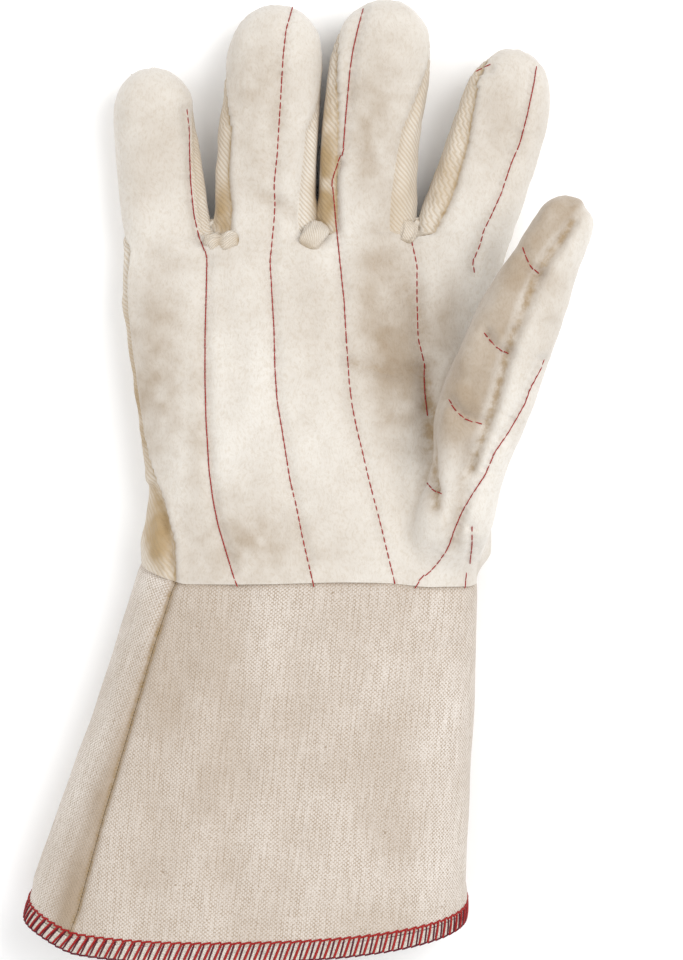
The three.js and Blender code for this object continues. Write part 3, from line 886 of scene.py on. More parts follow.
def pressed(points, normals, skin):
    """The skin with its quilted channels, seams, creases and soft lumps."""
    places = in_picture(points + FRAME_SHIFT)
    upward = smoothstep(normals[:, 2], -0.15, 0.25)
    free = upward * smoothstep(skin.wrist, 0.5, 7)
    on_thumb = smoothstep(skin.thumb, -0.6, 0.6)
    # The thumb's inner half, which is given painted shade
    inner = smoothstep(-skin.thumb_half, 0, 4) * on_thumb * smoothstep(points[:, 1], -6, 24)
    masks = {
        "palm": smoothstep(skin.front, -1, 1) * (1 - on_thumb) * free,
        "thumb": on_thumb * free,
        "both": free,
    }
    lumps = soft_noise(points, 5.5, 3) + 0.6 * soft_noise(points, 2.8, 4)
    layers = [
        (*quilted(places, points, masks), 0),
        (*creased(places, masks, lumps), 0),
        # Painted shade of the shaded patches, on faces turned up
        (0, 0, painted_patch_shade(places, lumps) * smoothstep(normals[:, 2], -0.35, 0)),
        side_seams(points, skin, upward, on_thumb),
        thumb_seams(points, skin, on_thumb, inner, lumps),
        (wrist_drawn_in(points, skin), 0, 0),
    ]
    depth, shade, tone = np.zeros((3, len(points)))
    for deeper, darker, shadier in layers:
        depth = depth + deeper
        shade = np.maximum(shade, darker)
        tone = np.maximum(tone, shadier)
    # The painted crease shade and the painted shade that the materials read
    skin.painted_crease_shade = np.clip(shade, 0, 1)
    skin.tone = np.clip(tone, 0, 1)
    raised = swollen(points, skin, inner) + 0.16 * lumps
    moved = met_by_cuff(points - normals * (depth - raised)[:, None], skin.wrist)
    moved[:, 2] = np.maximum(moved[:, 2], 0)
    return moved


def onto_seam(points, edges, field, fixed):
    """Moves one end of each edge that crosses a seam onto it, so that no triangle lies across."""
    a, b = edges.T
    crossing = field[a] * field[b] < 0
    a, b = a[crossing], b[crossing]
    nearer = np.abs(field[a]) < np.abs(field[b])
    swap = np.where(nearer, fixed[a] & ~fixed[b], ~(fixed[b] & ~fixed[a]))
    near, far = np.where(swap, b, a), np.where(swap, a, b)
    share = field[near] / (field[near] - field[far])
    target = points[near] + (points[far] - points[near]) * share[:, None]
    count = np.bincount(near, minlength=len(points))
    moved = count > 0
    points = points.copy()
    for k in range(3):
        total = np.bincount(near, target[:, k], len(points))
        points[moved, k] = total[moved] / count[moved]
    field = np.where(moved, 0, field)
    fixed |= moved
    return points, field


# Edges sharper than this, as at a cloth's cut rim, are shaded sharp
RIM_ANGLE = math.radians(65)


def walled(points, normals, faces, thickness):
    """A cloth's outer face with its inner face and cut edges: points, and faces."""
    count = len(points)
    edges = np.concatenate([faces[:, [0, 1]], faces[:, [1, 2]], faces[:, [2, 0]]])
    forth = edges[:, 0] * count + edges[:, 1]
    back = edges[:, 1] * count + edges[:, 0]
    a, b = edges[~np.isin(forth, back)].T
    rim = np.stack([b, a, a + count, b + count], axis=1)
    inner = faces[:, ::-1] + count
    both = np.concatenate([points, points - normals * thickness])
    return both, [*faces.tolist(), *inner.tolist(), *rim.tolist()]


def part_of(points, normals, triangles, skin, name, thickness):
    """A piece of cloth from some of the skin's triangles, with its fields as attributes."""
    used, index = np.unique(triangles, return_inverse=True)
    outer = points[used] + FRAME_SHIFT
    cloth = new_mesh(name, *walled(outer, normals[used], index.reshape(-1, 3), thickness))
    source = np.concatenate([used, used])
    # Painted crease shade and painted shade, which the materials read
    set_field(cloth, "painted_crease_shade", skin.painted_crease_shade[source])
    set_field(cloth, "tone", skin.tone[source])
    set_flat_places(cloth, skin.cloth[source])
    smooth_faces(cloth)
    cloth.set_sharp_from_angle(angle=RIM_ANGLE)
    return new_piece(name, cloth)


def thicken(piece, thickness):
    """Gives a single sheet its thickness, inward."""
    wall = piece.modifiers.new("thickness", "SOLIDIFY")
    wall.thickness = thickness * MM
    wall.offset = -1
    wall.use_rim = True
    apply_modifiers(piece)
    smooth_faces(piece.data)
    piece.data.set_sharp_from_angle(angle=RIM_ANGLE)


def hand_pieces():
    """Palm, back and the thumb's two halves, cut from one formed skin."""
    piece = formed_hand()
    finer = piece.modifiers.new("finer", "SUBSURF")
    finer.levels = finer.render_levels = 1
    even = piece.modifiers.new("triangles", "TRIANGULATE")
    even.min_vertices = 4
    apply_modifiers(piece)
    mesh = piece.data
    points, normals = points_of(mesh), normals_of(mesh)
    owner = np.empty(len(points), np.float32)
    mesh.attributes["owner"].data.foreach_get("value", owner)
    owner = np.rint(owner).astype(int)
    skin = skin_fields(points, owner)
    points = side_by_side(pressed(points, normals, skin), owner)
    edges, triangles = edges_of(mesh), triangles_of(mesh)
    fixed = np.zeros(len(points), bool)
    points, skin.wrist = onto_seam(points, edges, skin.wrist, fixed)
    points, skin.thumb = onto_seam(points, edges, skin.thumb, fixed)
    points, skin.front = onto_seam(points, edges, np.where(skin.thumb > 0, 9, skin.front), fixed)
    points, skin.thumb_half = onto_seam(
        points, edges, np.where(skin.thumb < 0, 9, skin.thumb_half), fixed
    )

    def over(field):
        return field[triangles].sum(axis=1) > 0

    set_points(mesh, points)
    normals = normals_of(mesh)
    kept, of_thumb = over(skin.wrist), over(skin.thumb)
    front, outer = over(skin.front), over(skin.thumb_half)
    cuts = {
        "palm_cloth": (kept & ~of_thumb & front, PALM_PLY),
        "back_cloth": (kept & ~of_thumb & ~front, BACK_PLY),
        "thumb_outer_cloth": (kept & of_thumb & outer, SIDE_PLY),
        "thumb_inner_cloth": (kept & of_thumb & ~outer, SIDE_PLY),
    }
    made = {}
    for name, (keep, ply) in cuts.items():
        made[name] = part_of(points, normals, triangles[keep], skin, name, ply)
    bpy.data.objects.remove(piece)
    return made


def cuff_grid(angles, downs):
    """Points of the cuff's outer face: rows from wrist (0) to hem (1), columns by angle."""
    left, right, top, waist = (
        mix(a, b, downs)[:, None] for a, b in zip(CUFF_WRIST, CUFF_HEM)
    )
    c, s = np.cos(angles)[None], np.sin(angles)[None]
    power = np.where(s >= 0, TOP_POWER, BOTTOM_POWER)
    depth = np.where(s >= 0, top - waist, waist + PRESSED_FLAT)
    across = np.sign(c) * np.abs(c) ** (2 / power) * (right - left) / 2
    up = np.sign(s) * np.abs(s) ** (2 / power) * depth
    z = np.maximum(waist + up, 0)
    x = (left + right) / 2 + across
    slant = HEM_SLANT[0] * (x - HEM_SLANT[1]) + HEM_CORNER_LIFT * smoothstep(-x, 84, 104)
    hem_y = mix(CUFF_HEM_Y[0], CUFF_HEM_Y[1], z / CUFF_HEM[2]) + slant
    y = mix(wrist_y(x, z) + CUFF_TUCK, hem_y, downs[:, None])
    return np.stack([x, y, z], axis=2)


def grid_piece(name, grid, closed=False):
    """A sheet of cloth from rows and columns of points, with its own flat coordinates."""
    rows, columns = grid.shape[:2]
    spans = columns if closed else columns - 1
    faces = []
    for r in range(rows - 1):
        for i in range(spans):
            j = (i + 1) % columns
            a, b = r * columns, (r + 1) * columns
            faces.append((a + i, a + j, b + j, b + i))
    mesh = new_mesh(name, grid.reshape(-1, 3) + FRAME_SHIFT, faces)
    run = np.linalg.norm(np.diff(grid, axis=1), axis=2)
    across = np.concatenate([np.zeros((rows, 1)), np.cumsum(run, axis=1)], axis=1)
    middle = columns // 2
    across = across - across[:, middle : middle + 1]
    fall = np.linalg.norm(np.diff(grid, axis=0), axis=2)
    down = np.concatenate([np.zeros((1, columns)), np.cumsum(fall, axis=0)], axis=0)
    set_flat_places(mesh, np.stack([across, -down], axis=2).reshape(-1, 2))
    smooth_faces(mesh)
    mesh.attributes.new("painted_crease_shade", "FLOAT", "POINT")
    mesh.attributes.new("tone", "FLOAT", "POINT")
    return new_piece(name, mesh)


# Soft folds in the cuff's top: a line of pixels, depth and half width in mm
CUFF_FOLDS = [
    ([(240, 592), (229, 690), (240, 790), (232, 880)], 1.1, 8.0),
    ([(296, 640), (306, 740), (284, 850), (280, 930)], 0.9, 8.0),
    ([(186, 640), (166, 760), (146, 880)], 0.8, 8.0),
    ([(345, 600), (352, 700), (372, 820)], 0.7, 9.0),
    ([(420, 620), (426, 740), (418, 860)], 0.6, 9.0),
    ([(352, 648), (385, 654), (430, 652), (460, 643), (474, 633)], 0.45, 1.5),
]


# Rows of points from wrist to hem, and columns across the two panels
CUFF_ROWS = 110
CUFF_PALM_COLUMNS = 190
CUFF_BACK_COLUMNS = 220
# The height over which the drape fades into the bound hem, as a share of the way down
HEM_HELD_FROM = (0.93, 0.98)


def cuff_relief(points, normals, down, edge, wrist_gap):
    """How far the canvas drapes out, and how far its seams and folds sink in."""
    free = 1 - smoothstep(down, *HEM_HELD_FROM)
    drape = soft_noise(points * (1, 0.35, 1), 24, 21) * 1.1
    drape += soft_noise(points * (1, 0.5, 1), 9, 22) * 0.35
    sink = 1.3 * free * hump(edge, 2.0) + 0.8 * hump(wrist_gap, 1.6)
    sink += 0.35 * hump(wrist_gap - 5, 6) * soft_noise(points * (1, 0.2, 1), 5, 23)
    for line, deep, wide in CUFF_FOLDS:
        fold = line_gap(in_picture(points), line)[0]
        sink += free * deep * hump(fold, wide) * smoothstep(normals[:, 2], 0, 0.4)
    return drape * free * smoothstep(down, 0, 0.15), sink


def cuff_shade_and_tone(name, points, down, edge, sink):
    """Darker towards the left and lighter at the right, with painted shade in the folds and along
    the back panel's seam towards the hem, and random cloudy tone.
    """
    cloudy = 0.12 * soft_noise(points, 17, 24)
    if name == "cuff_palm_cloth":
        tone = mix(0.44, 0.24, smoothstep(points[:, 0], -44, 4)) + cloudy
        # Painted shade in the folds
        tone += 0.1 * np.clip(sink, 0, 1)
    else:
        # Painted shade along the back panel's seam towards the hem
        tone = cloudy + 1.2 * hump(edge, 6 + 6 * down) * smoothstep(down, 0.1, 0.7)
    return np.clip(tone * (1 - 0.8 * smoothstep(points[:, 0], 34, 52)), 0, 1)


def cuff_panel(name, start, end, columns):
    """One canvas panel of the cuff, between two angles round it."""
    downs = np.linspace(0, 1, CUFF_ROWS)
    grid = cuff_grid(np.linspace(start, end, columns), downs)
    piece = grid_piece(name, grid)
    mesh = piece.data
    points, normals = points_of(mesh), normals_of(mesh)
    down = np.repeat(downs, columns)
    length = np.linalg.norm(np.diff(grid, axis=1), axis=2)
    run = np.concatenate([np.zeros((CUFF_ROWS, 1)), np.cumsum(length, axis=1)], axis=1)
    edge = np.minimum(run, run[:, -1:] - run).ravel()
    plan = points - FRAME_SHIFT
    wrist_gap = np.abs(plan[:, 1] - wrist_y(plan[:, 0], plan[:, 2]))
    drape, sink = cuff_relief(points, normals, down, edge, wrist_gap)
    moved = points + normals * (drape - sink)[:, None]
    moved[:, 2] = np.maximum(moved[:, 2], 0)
    set_points(mesh, moved)
    # Painted shade along the panel's cut edges at its seams, and along the wrist seam
    painted_crease_shade = np.maximum(hump(edge, 1.5) + 0.12 * hump(edge, 5), hump(wrist_gap, 1.2) * 0.5)
    set_field(mesh, "painted_crease_shade", np.clip(painted_crease_shade, 0, 1))
    set_field(mesh, "tone", cuff_shade_and_tone(name, points, down, edge, sink))
    thicken(piece, CANVAS)
    return piece


def cuff_pieces():
    """The cuff's two panels, with a small gap at the seams between them."""
    slack = SEAM_GAP / 2 / CUFF_WRIST[1]
    first, second = np.radians(CUFF_SEAMS)
    spans = {
        "cuff_palm_cloth": (first + slack, second - slack, CUFF_PALM_COLUMNS),
        "cuff_back_cloth": (second + slack, first + 2 * math.pi - slack, CUFF_BACK_COLUMNS),
    }
    return {name: cuff_panel(name, *span) for name, span in spans.items()}


# The hem's cloth, the pitch and rows of its threads in mm down it, and their height off the floor
HEM_PLY = CANVAS + 0.4
HEM_SIDES = 400
HEM_PITCH = 3.7
HEM_ROWS = {"top": -1.7, "face": 1.7, "bottom": 4.9}
THREAD_CLEAR = 0.45


def hem_band():
    """The bound edge that the overlock threads wrap."""
    downs = 1 + np.linspace(SEAM_GAP, SEAM_GAP + HEM_WIDTH, 8) / CUFF_LENGTH
    piece = grid_piece("hem_cloth", cuff_grid(full_turn(HEM_SIDES), downs), closed=True)
    thicken(piece, HEM_PLY)
    return piece


def hem_line(place, depth, start=0):
    """A closed line round the hem, place mm down it and depth mm into it, and how it faces."""
    downs = 1 + (SEAM_GAP + np.array([place - 0.2, place, place + 0.2])) / CUFF_LENGTH
    rows = cuff_grid(full_turn(HEM_SIDES), downs)
    along = np.roll(rows[1], -1, axis=0) - np.roll(rows[1], 1, axis=0)
    facing = unit(np.cross(rows[2] - rows[0], along))
    top = HEM_SIDES // 4
    facing *= np.sign(facing[top, 2])
    line = rows[1] - facing * depth + FRAME_SHIFT
    line[:, 2] = np.maximum(line[:, 2], THREAD_CLEAR)
    return np.roll(line, -start, axis=0), np.roll(facing, -start, axis=0)


def hem_threads(tree, red, dark):
    """Overlock sewn over the hem: a chain on top, slanted pairs over the edge, a line below."""
    made = {}
    for name, material, place, depth, start, across, along, thick in (
        ("hem_chain", red, HEM_ROWS["top"], -0.2, 0, 0.7, 3.8, 0.75),
        ("hem_slants", red, HEM_ROWS["face"], -0.25, 0, 6.4, 2.9, 0.95),
        ("hem_slants_dark", dark, HEM_ROWS["face"], -0.15, 1, 6.4, 2.3, 0.7),
        ("hem_edge_line", dark, HEM_ROWS["bottom"], -0.1, 2, 0.4, 3.8, 0.7),
        ("hem_slants_inside", red, HEM_ROWS["face"], HEM_PLY + 0.1, 0, 6.4, 1.6, 0.8),
    ):
        line, facing = hem_line(place, depth, start)
        if name == "hem_slants_inside":
            facing = -facing
        made[name] = sewn(name, [(line, facing)], tree, material, Pitch=HEM_PITCH, Dash=along,
                          Across=across, Thread=thick, Dip=0.3)
    return made


# The crotch folds: how flat they are, how far they sink into the hand, how close their ribs stand,
# and how much painted shade darkens them where they are pinched
FOLD_RINGS = 60
FOLD_SIDES = 36
FOLD_RISE = 0.62
FOLD_SUNK = 0.12
FOLD_WEAVE = 1.7
FOLD_PINCH_SHADE = 1.1


def crotch_fold(name, pixels, over_hand, radius, lobes, taper):
    """A little roll of puckered twill in a finger crotch, laid along pixels of the photograph."""
    spots, facing = laid_line(pixels, over_hand, step=1.0)
    facing = unit(np.mean(facing, axis=0) + UP)
    path = [spots[0], (spots[0] + spots[-1]) / 2 + 0.25 * radius * facing, spots[-1]]
    turn = np.linspace(0, math.pi, FOLD_RINGS)
    shares = (1 - np.cos(turn)) / 2
    centre, tangent, length = evenly(path, shares)
    right = unit(np.cross(tangent, facing))
    rise = np.cross(right, tangent)
    angles = full_turn(FOLD_SIDES)
    size = radius * np.maximum(np.sqrt(np.sin(turn)), 0.2) * (1 - taper * shares)
    pinch = 1 - 0.42 * np.abs(np.cos(turn * lobes)) ** 8
    pleats = 0.36 * np.sin(7 * angles[None] + 5 * np.sin(turn * lobes)[:, None])
    ribs = 0.12 * np.sin(shares[:, None] * length * 5 + 1.5 * np.sin(angles)[None])
    bulge = 1 + 0.12 * np.sin(2 * angles[None] + 3 * turn[:, None] + lobes)
    ring = (size * pinch)[:, None] * bulge + (pleats + ribs) * (size / radius)[:, None]
    points = centre[:, None] + ring[..., None] * (
        right[:, None] * np.cos(angles)[None, :, None]
        + FOLD_RISE * rise[:, None] * np.sin(angles)[None, :, None]
    )
    points -= FOLD_SUNK * radius * facing
    mesh = new_mesh(name, points.reshape(-1, 3), tube_faces(FOLD_RINGS, FOLD_SIDES))
    smooth_faces(mesh)
    # Painted shade where the fold is pinched and where it narrows
    hidden = np.clip(FOLD_PINCH_SHADE * (1 - size * pinch / radius), 0, 1)
    set_field(mesh, "painted_crease_shade", np.repeat(hidden, FOLD_SIDES))
    around, along = np.meshgrid(angles * radius, shares * length)
    set_flat_places(mesh, FOLD_WEAVE * np.stack([around, along], axis=2).reshape(-1, 2))
    return new_piece(name, mesh)


# Each crotch fold: pixels along it, radius, lobes, and how much thinner it ends
GUSSETS = {
    "little_ring": ([(204, 243), (239, 241)], 4.0, 2, 0.0),
    "ring_middle": ([(307, 248), (322, 223)], 5.4, 1, 0.25),
    "middle_index": ([(407, 243), (409, 220)], 3.5, 1, 0.1),
}


class Field:
    """A value in a node tree that adds and multiplies like a number."""

    def __init__(self, tree, socket):
        self.tree = tree
        self.socket = socket

    def math(self, operation, *others):
        node = self.tree.nodes.new("ShaderNodeMath")
        node.operation = operation
        self.tree.links.new(self.socket, node.inputs[0])
        for slot, other in zip(node.inputs[1:], others):
            if isinstance(other, Field):
                self.tree.links.new(other.socket, slot)
            else:
                slot.default_value = other
        return Field(self.tree, node.outputs[0])

    def __add__(self, other):
        return self.math("ADD", other)

    def __sub__(self, other):
        return self.math("SUBTRACT", other)

    def __mul__(self, other):
        return self.math("MULTIPLY", other)

    def between(self, low, high, new_low=0.0, new_high=1.0):
        """Moved from one range to another, and kept inside it."""
        node = self.tree.nodes.new("ShaderNodeMapRange")
        node.interpolation_type = "SMOOTHSTEP"
        self.tree.links.new(self.socket, node.inputs["Value"])
        node.inputs["From Min"].default_value = low
        node.inputs["From Max"].default_value = high
        node.inputs["To Min"].default_value = new_low
        node.inputs["To Max"].default_value = new_high
        return Field(self.tree, node.outputs["Result"])


def noise_field(tree, vector, scale, detail=2.0, rough=0.5):
    node = tree.nodes.new("ShaderNodeTexNoise")
    tree.links.new(vector, node.inputs["Vector"])
    node.inputs["Scale"].default_value = scale
    node.inputs["Detail"].default_value = detail
    node.inputs["Roughness"].default_value = rough
    return Field(tree, node.outputs["Fac"])


def stretched(tree, vector, scale, turn=(0, 0, 0)):
    node = tree.nodes.new("ShaderNodeMapping")
    node.inputs["Scale"].default_value = scale
    node.inputs["Rotation"].default_value = turn
    tree.links.new(vector, node.inputs["Vector"])
    return node.outputs["Vector"]


def swirled(tree, vector, scale, reach):
    """Places pushed about by a slow noise, so that a pattern on them wanders."""
    node = tree.nodes.new("ShaderNodeTexNoise")
    tree.links.new(vector, node.inputs["Vector"])
    node.inputs["Scale"].default_value = scale
    push = tree.nodes.new("ShaderNodeVectorMath")
    push.operation = "MULTIPLY_ADD"
    tree.links.new(node.outputs["Color"], push.inputs[0])
    push.inputs[1].default_value = (reach, reach, reach)
    tree.links.new(vector, push.inputs[2])
    return push.outputs[0]


def blend(tree, share, first, second, mode="MIX"):
    """One colour over another. first and second are colours or sockets."""
    node = tree.nodes.new("ShaderNodeMix")
    node.data_type = "RGBA"
    node.blend_type = mode
    for name, value in (("A", first), ("B", second)):
        slot = next(s for s in node.inputs if s.name == name and s.type == "RGBA")
        if isinstance(value, bpy.types.NodeSocket):
            tree.links.new(value, slot)
        else:
            slot.default_value = (*value, 1)
    factor = node.inputs[0]
    if isinstance(share, Field):
        tree.links.new(share.socket, factor)
    else:
        factor.default_value = share
    return next(s for s in node.outputs if s.type == "RGBA")


def group_tree(name, inputs, outputs):
    """A shader node group with named sockets, and its input and output nodes."""
    tree = bpy.data.node_groups.new(name, "ShaderNodeTree")
    for label, kind, value in inputs:
        socket = tree.interface.new_socket(label, in_out="INPUT", socket_type=kind)
        if value is not None:
            socket.default_value = value
    for label, kind in outputs:
        tree.interface.new_socket(label, in_out="OUTPUT", socket_type=kind)
    return tree, tree.nodes.new("NodeGroupInput"), tree.nodes.new("NodeGroupOutput")


def shade_and_tone_group():
    """Slow random changes of tone in undyed cotton, painted shade in the shaded patches, and the
    painted brown shade of deep creases.
    """
    tree, given, out = group_tree(
        "cotton_shade_and_tone",
        [("Vector", "NodeSocketVector", None), ("Crease", "NodeSocketFloat", 0.0),
         ("Tone", "NodeSocketFloat", 0.0),
         ("Colour", "NodeSocketColor", None), ("Shade", "NodeSocketColor", None),
         ("Patches", "NodeSocketFloat", 0.3), ("Brown", "NodeSocketFloat", 0.1)],
        [("Colour", "NodeSocketColor")],
    )
    patches = noise_field(tree, given.outputs["Vector"], 22, 3, 0.6).between(0.35, 0.75)
    patches = patches * Field(tree, given.outputs["Patches"])
    mild = blend(tree, patches, given.outputs["Colour"], given.outputs["Shade"])
    slow = noise_field(tree, given.outputs["Vector"], 60, 4, 0.6).between(0.3, 0.7, 0.72, 1)
    # Painted shade, deep brown where it is strongest
    toned = blend(tree, Field(tree, given.outputs["Tone"]) * slow, mild, given.outputs["Shade"])
    dark = Field(tree, given.outputs["Tone"]).between(0.4, 1.0)
    dark = dark * Field(tree, given.outputs["Brown"]) * slow
    toned = blend(tree, dark, toned, DEEP_SHADE_BROWN)
    grit = noise_field(tree, given.outputs["Vector"], 260, 3, 0.65).between(0.3, 0.7, 0.6, 1)
    painted_crease_shade = Field(tree, given.outputs["Crease"]) * grit
    # Painted shade in creases, deep brown in the deepest
    brown = blend(tree, painted_crease_shade, toned, given.outputs["Shade"])
    deeper = blend(tree, painted_crease_shade.between(0.35, 1.0, 0.0, 0.8), brown, DEEP_SHADE_BROWN)
    tree.links.new(deeper, out.inputs["Colour"])
    return tree


def use_group(tree, group, **values):
    node = tree.nodes.new("ShaderNodeGroup")
    node.node_tree = group
    for label, value in values.items():
        if isinstance(value, Field):
            tree.links.new(value.socket, node.inputs[label])
        elif isinstance(value, bpy.types.NodeSocket):
            tree.links.new(value, node.inputs[label])
        else:
            node.inputs[label].default_value = value
    return node


def new_material(name, roughness, sheen=0.0, sheen_roughness=0.5):
    material = bpy.data.materials.new(name)
    material.use_nodes = True
    tree = material.node_tree
    shader = next(n for n in tree.nodes if n.type == "BSDF_PRINCIPLED")
    shader.inputs["Roughness"].default_value = roughness
    shader.inputs["Specular IOR Level"].default_value = 0.25
    shader.inputs["Sheen Weight"].default_value = sheen
    shader.inputs["Sheen Roughness"].default_value = sheen_roughness
    return material, tree, shader


def bump_into(tree, shader, height, strength, distance_mm):
    node = tree.nodes.new("ShaderNodeBump")
    node.inputs["Strength"].default_value = strength
    node.inputs["Distance"].default_value = distance_mm * MM
    tree.links.new(height.socket, node.inputs["Height"])
    tree.links.new(node.outputs["Normal"], shader.inputs["Normal"])


def place_in(tree):
    return tree.nodes.new("ShaderNodeTexCoord").outputs["Object"]


def attribute_in(tree, name):
    node = tree.nodes.new("ShaderNodeAttribute")
    node.attribute_name = name
    return Field(tree, node.outputs["Fac"])


def cloth_place(tree):
    """Where a point lies on the flat cloth: two fields in mm, and the UV itself in metres."""
    node = tree.nodes.new("ShaderNodeUVMap")
    node.uv_map = "cloth"
    parts = tree.nodes.new("ShaderNodeSeparateXYZ")
    tree.links.new(node.outputs["UV"], parts.inputs[0])
    return (Field(tree, parts.outputs[0]) * 1000, Field(tree, parts.outputs[1]) * 1000,
            node.outputs["UV"])


NAP_LIGHT = (0.70, 0.665, 0.61)
NAP_SHADE = (0.37, 0.295, 0.22)
TWILL_LIGHT = (0.71, 0.67, 0.61)
TWILL_SHADE = (0.40, 0.285, 0.155)
CANVAS_LIGHT = (0.76, 0.705, 0.65)
CANVAS_SHADE = (0.36, 0.28, 0.205)
NAP_HOLLOW = (0.76, 0.69, 0.60)
# Deep painted shade, in the deepest creases and the most shaded patches
DEEP_SHADE_BROWN = (0.29, 0.185, 0.07)
RED_THREAD = (0.38, 0.016, 0.014)
CANVAS_FLECK = (0.25, 0.17, 0.1)
DARK_THREAD = (0.12, 0.010, 0.022)
WHITE_THREAD = (0.72, 0.67, 0.59)

# Distances in mm between the ribs and yarns of the twill, and between the yarns of the canvas
RIB_PITCH = 1.35
YARN_PITCH = 0.75
WARP_PITCH = 0.82
WEFT_PITCH = 0.7


def toned_and_shaded_colour(tree, group, place, light, shade, patches, brown=0.1):
    """The cloth's own colour with its slow changes of tone, its painted shade and the painted brown
    shade of its creases.
    """
    node = use_group(
        tree, group, Vector=place, Crease=attribute_in(tree, "painted_crease_shade"),
        Tone=attribute_in(tree, "tone"), Colour=(*light, 1), Shade=(*shade, 1),
        Patches=patches, Brown=brown,
    )
    return node.outputs["Colour"]


def napped_cotton(group):
    material, tree, shader = new_material("napped_cotton", 0.95, 0.35, 0.6)
    place = place_in(tree)
    tufts = noise_field(tree, place, 560, 3, 0.65)
    combed = swirled(tree, place, 70, 0.012)
    fibres = noise_field(tree, stretched(tree, combed, (1, 0.3, 0.6), (0, 0, 0.4)), 1700, 3, 0.75)
    height = tufts * 0.4 + fibres * 0.6
    cloth = toned_and_shaded_colour(tree, group, place, NAP_LIGHT, NAP_SHADE, 0.35, 0.14)
    mottled = blend(tree, height.between(0.36, 0.56, 0.42, 0.0), cloth, NAP_HOLLOW, "MULTIPLY")
    tree.links.new(mottled, shader.inputs["Base Color"])
    bump_into(tree, shader, height, 0.55, 0.6)
    return material


def twill_cotton(group):
    material, tree, shader = new_material("twill_cotton", 0.85, 0.15)
    u, v, _ = cloth_place(tree)
    place = place_in(tree)
    wander = (noise_field(tree, place, 90, 2) - 0.5) * 1.2
    across = (u * 0.70 - v * 0.71 + wander) * (2 * math.pi / RIB_PITCH)
    rib = across.math("SINE").between(-0.9, 0.9)
    yarn = ((u * 0.71 + v * 0.70) * (2 * math.pi / YARN_PITCH)).math("SINE") * 0.18
    fuzz = noise_field(tree, place, 1300, 2, 0.7)
    height = rib + yarn + fuzz * 0.35
    cloth = toned_and_shaded_colour(tree, group, place, TWILL_LIGHT, TWILL_SHADE, 0.4, 0.6)
    ribbed = blend(tree, rib.between(0.0, 0.55, 0.6, 1.0), TWILL_SHADE, cloth)
    tree.links.new(ribbed, shader.inputs["Base Color"])
    bump_into(tree, shader, height, 0.5, 0.3)
    return material


def cuff_canvas(group):
    material, tree, shader = new_material("cuff_canvas", 0.88, 0.1)
    u, v, flat = cloth_place(tree)
    place = place_in(tree)
    wander = (noise_field(tree, place, 160, 2) - 0.5) * 0.3
    warp = (u + wander) * (math.pi / WARP_PITCH)
    weft = (v + wander) * (math.pi / WEFT_PITCH)
    over = warp.math("COSINE") * weft.math("COSINE")
    furrow = warp.math("SINE")
    weave = (furrow * furrow * -0.4) + over * 0.5 + 0.75
    slub = noise_field(tree, stretched(tree, flat, (1, 0.08, 1)), 900, 2, 0.7)
    cross = noise_field(tree, stretched(tree, flat, (0.08, 1, 1)), 900, 2, 0.7)
    grain = noise_field(tree, place, 1500, 2, 0.6)
    height = weave + slub * 0.8 + cross * 0.3 + (grain - 0.5) * 0.7
    cloth = toned_and_shaded_colour(tree, group, place, CANVAS_LIGHT, CANVAS_SHADE, 0.3)
    woven = blend(tree, height.between(0.55, 1.3, 0.0, 1), CANVAS_SHADE, cloth)
    speck = noise_field(tree, place, 420, 1, 0.4).between(0.77, 0.81)
    flecked = blend(tree, speck * 0.6, woven, CANVAS_FLECK)
    tree.links.new(flecked, shader.inputs["Base Color"])
    bump_into(tree, shader, height, 0.8, 0.3)
    return material


def thread_material(name, colour):
    material, tree, shader = new_material(name, 0.7)
    place = place_in(tree)
    twist = noise_field(tree, place, 2600, 2, 0.6)
    deep = tuple(c * 0.55 for c in colour)
    tree.links.new(blend(tree, twist.between(0.35, 0.65), deep, colour), shader.inputs["Base Color"])
    bump_into(tree, shader, twist, 0.4, 0.1)
    return material


def plain(name, colour, roughness):
    material, _, shader = new_material(name, roughness)
    shader.inputs["Base Color"].default_value = (*colour, 1)
    return material


def camera_ray(pixel):
    """From the camera through a pixel: start and direction in metres."""
    start = Vector(CAMERA_AT) * MM
    aim = Vector((
        CAMERA_AT[0] + (pixel[0] - PICTURE_MIDDLE[0]) * MM_PER_PIXEL,
        CAMERA_AT[1] - (pixel[1] - PICTURE_MIDDLE[1]) * MM_PER_PIXEL,
        0,
    )) * MM
    return start, (aim - start).normalized()


def laid_line(line, trees, lift=0.0, step=0.8):
    """The pixels of a line laid on the cloth under them, as points in mm and normals."""
    line = np.asarray(line, float)
    run = np.concatenate([[0], np.cumsum(np.linalg.norm(np.diff(line, axis=0), axis=1))])
    at = np.linspace(0, run[-1], max(int(run[-1] * MM_PER_PIXEL / step), 2))
    places = np.stack([np.interp(at, run, line[:, k]) for k in range(2)], axis=1)
    points, normals = [], []
    for place in places:
        start, aim = camera_ray(place)
        hits = [tree.ray_cast(start, aim) for tree in trees]
        hits = [hit for hit in hits if hit[0] is not None]
        if hits:
            spot, normal, _, _ = min(hits, key=lambda hit: hit[3])
            points.append(np.array(spot) / MM + np.array(normal) * lift)
            normals.append(np.array(normal))
    return points, normals


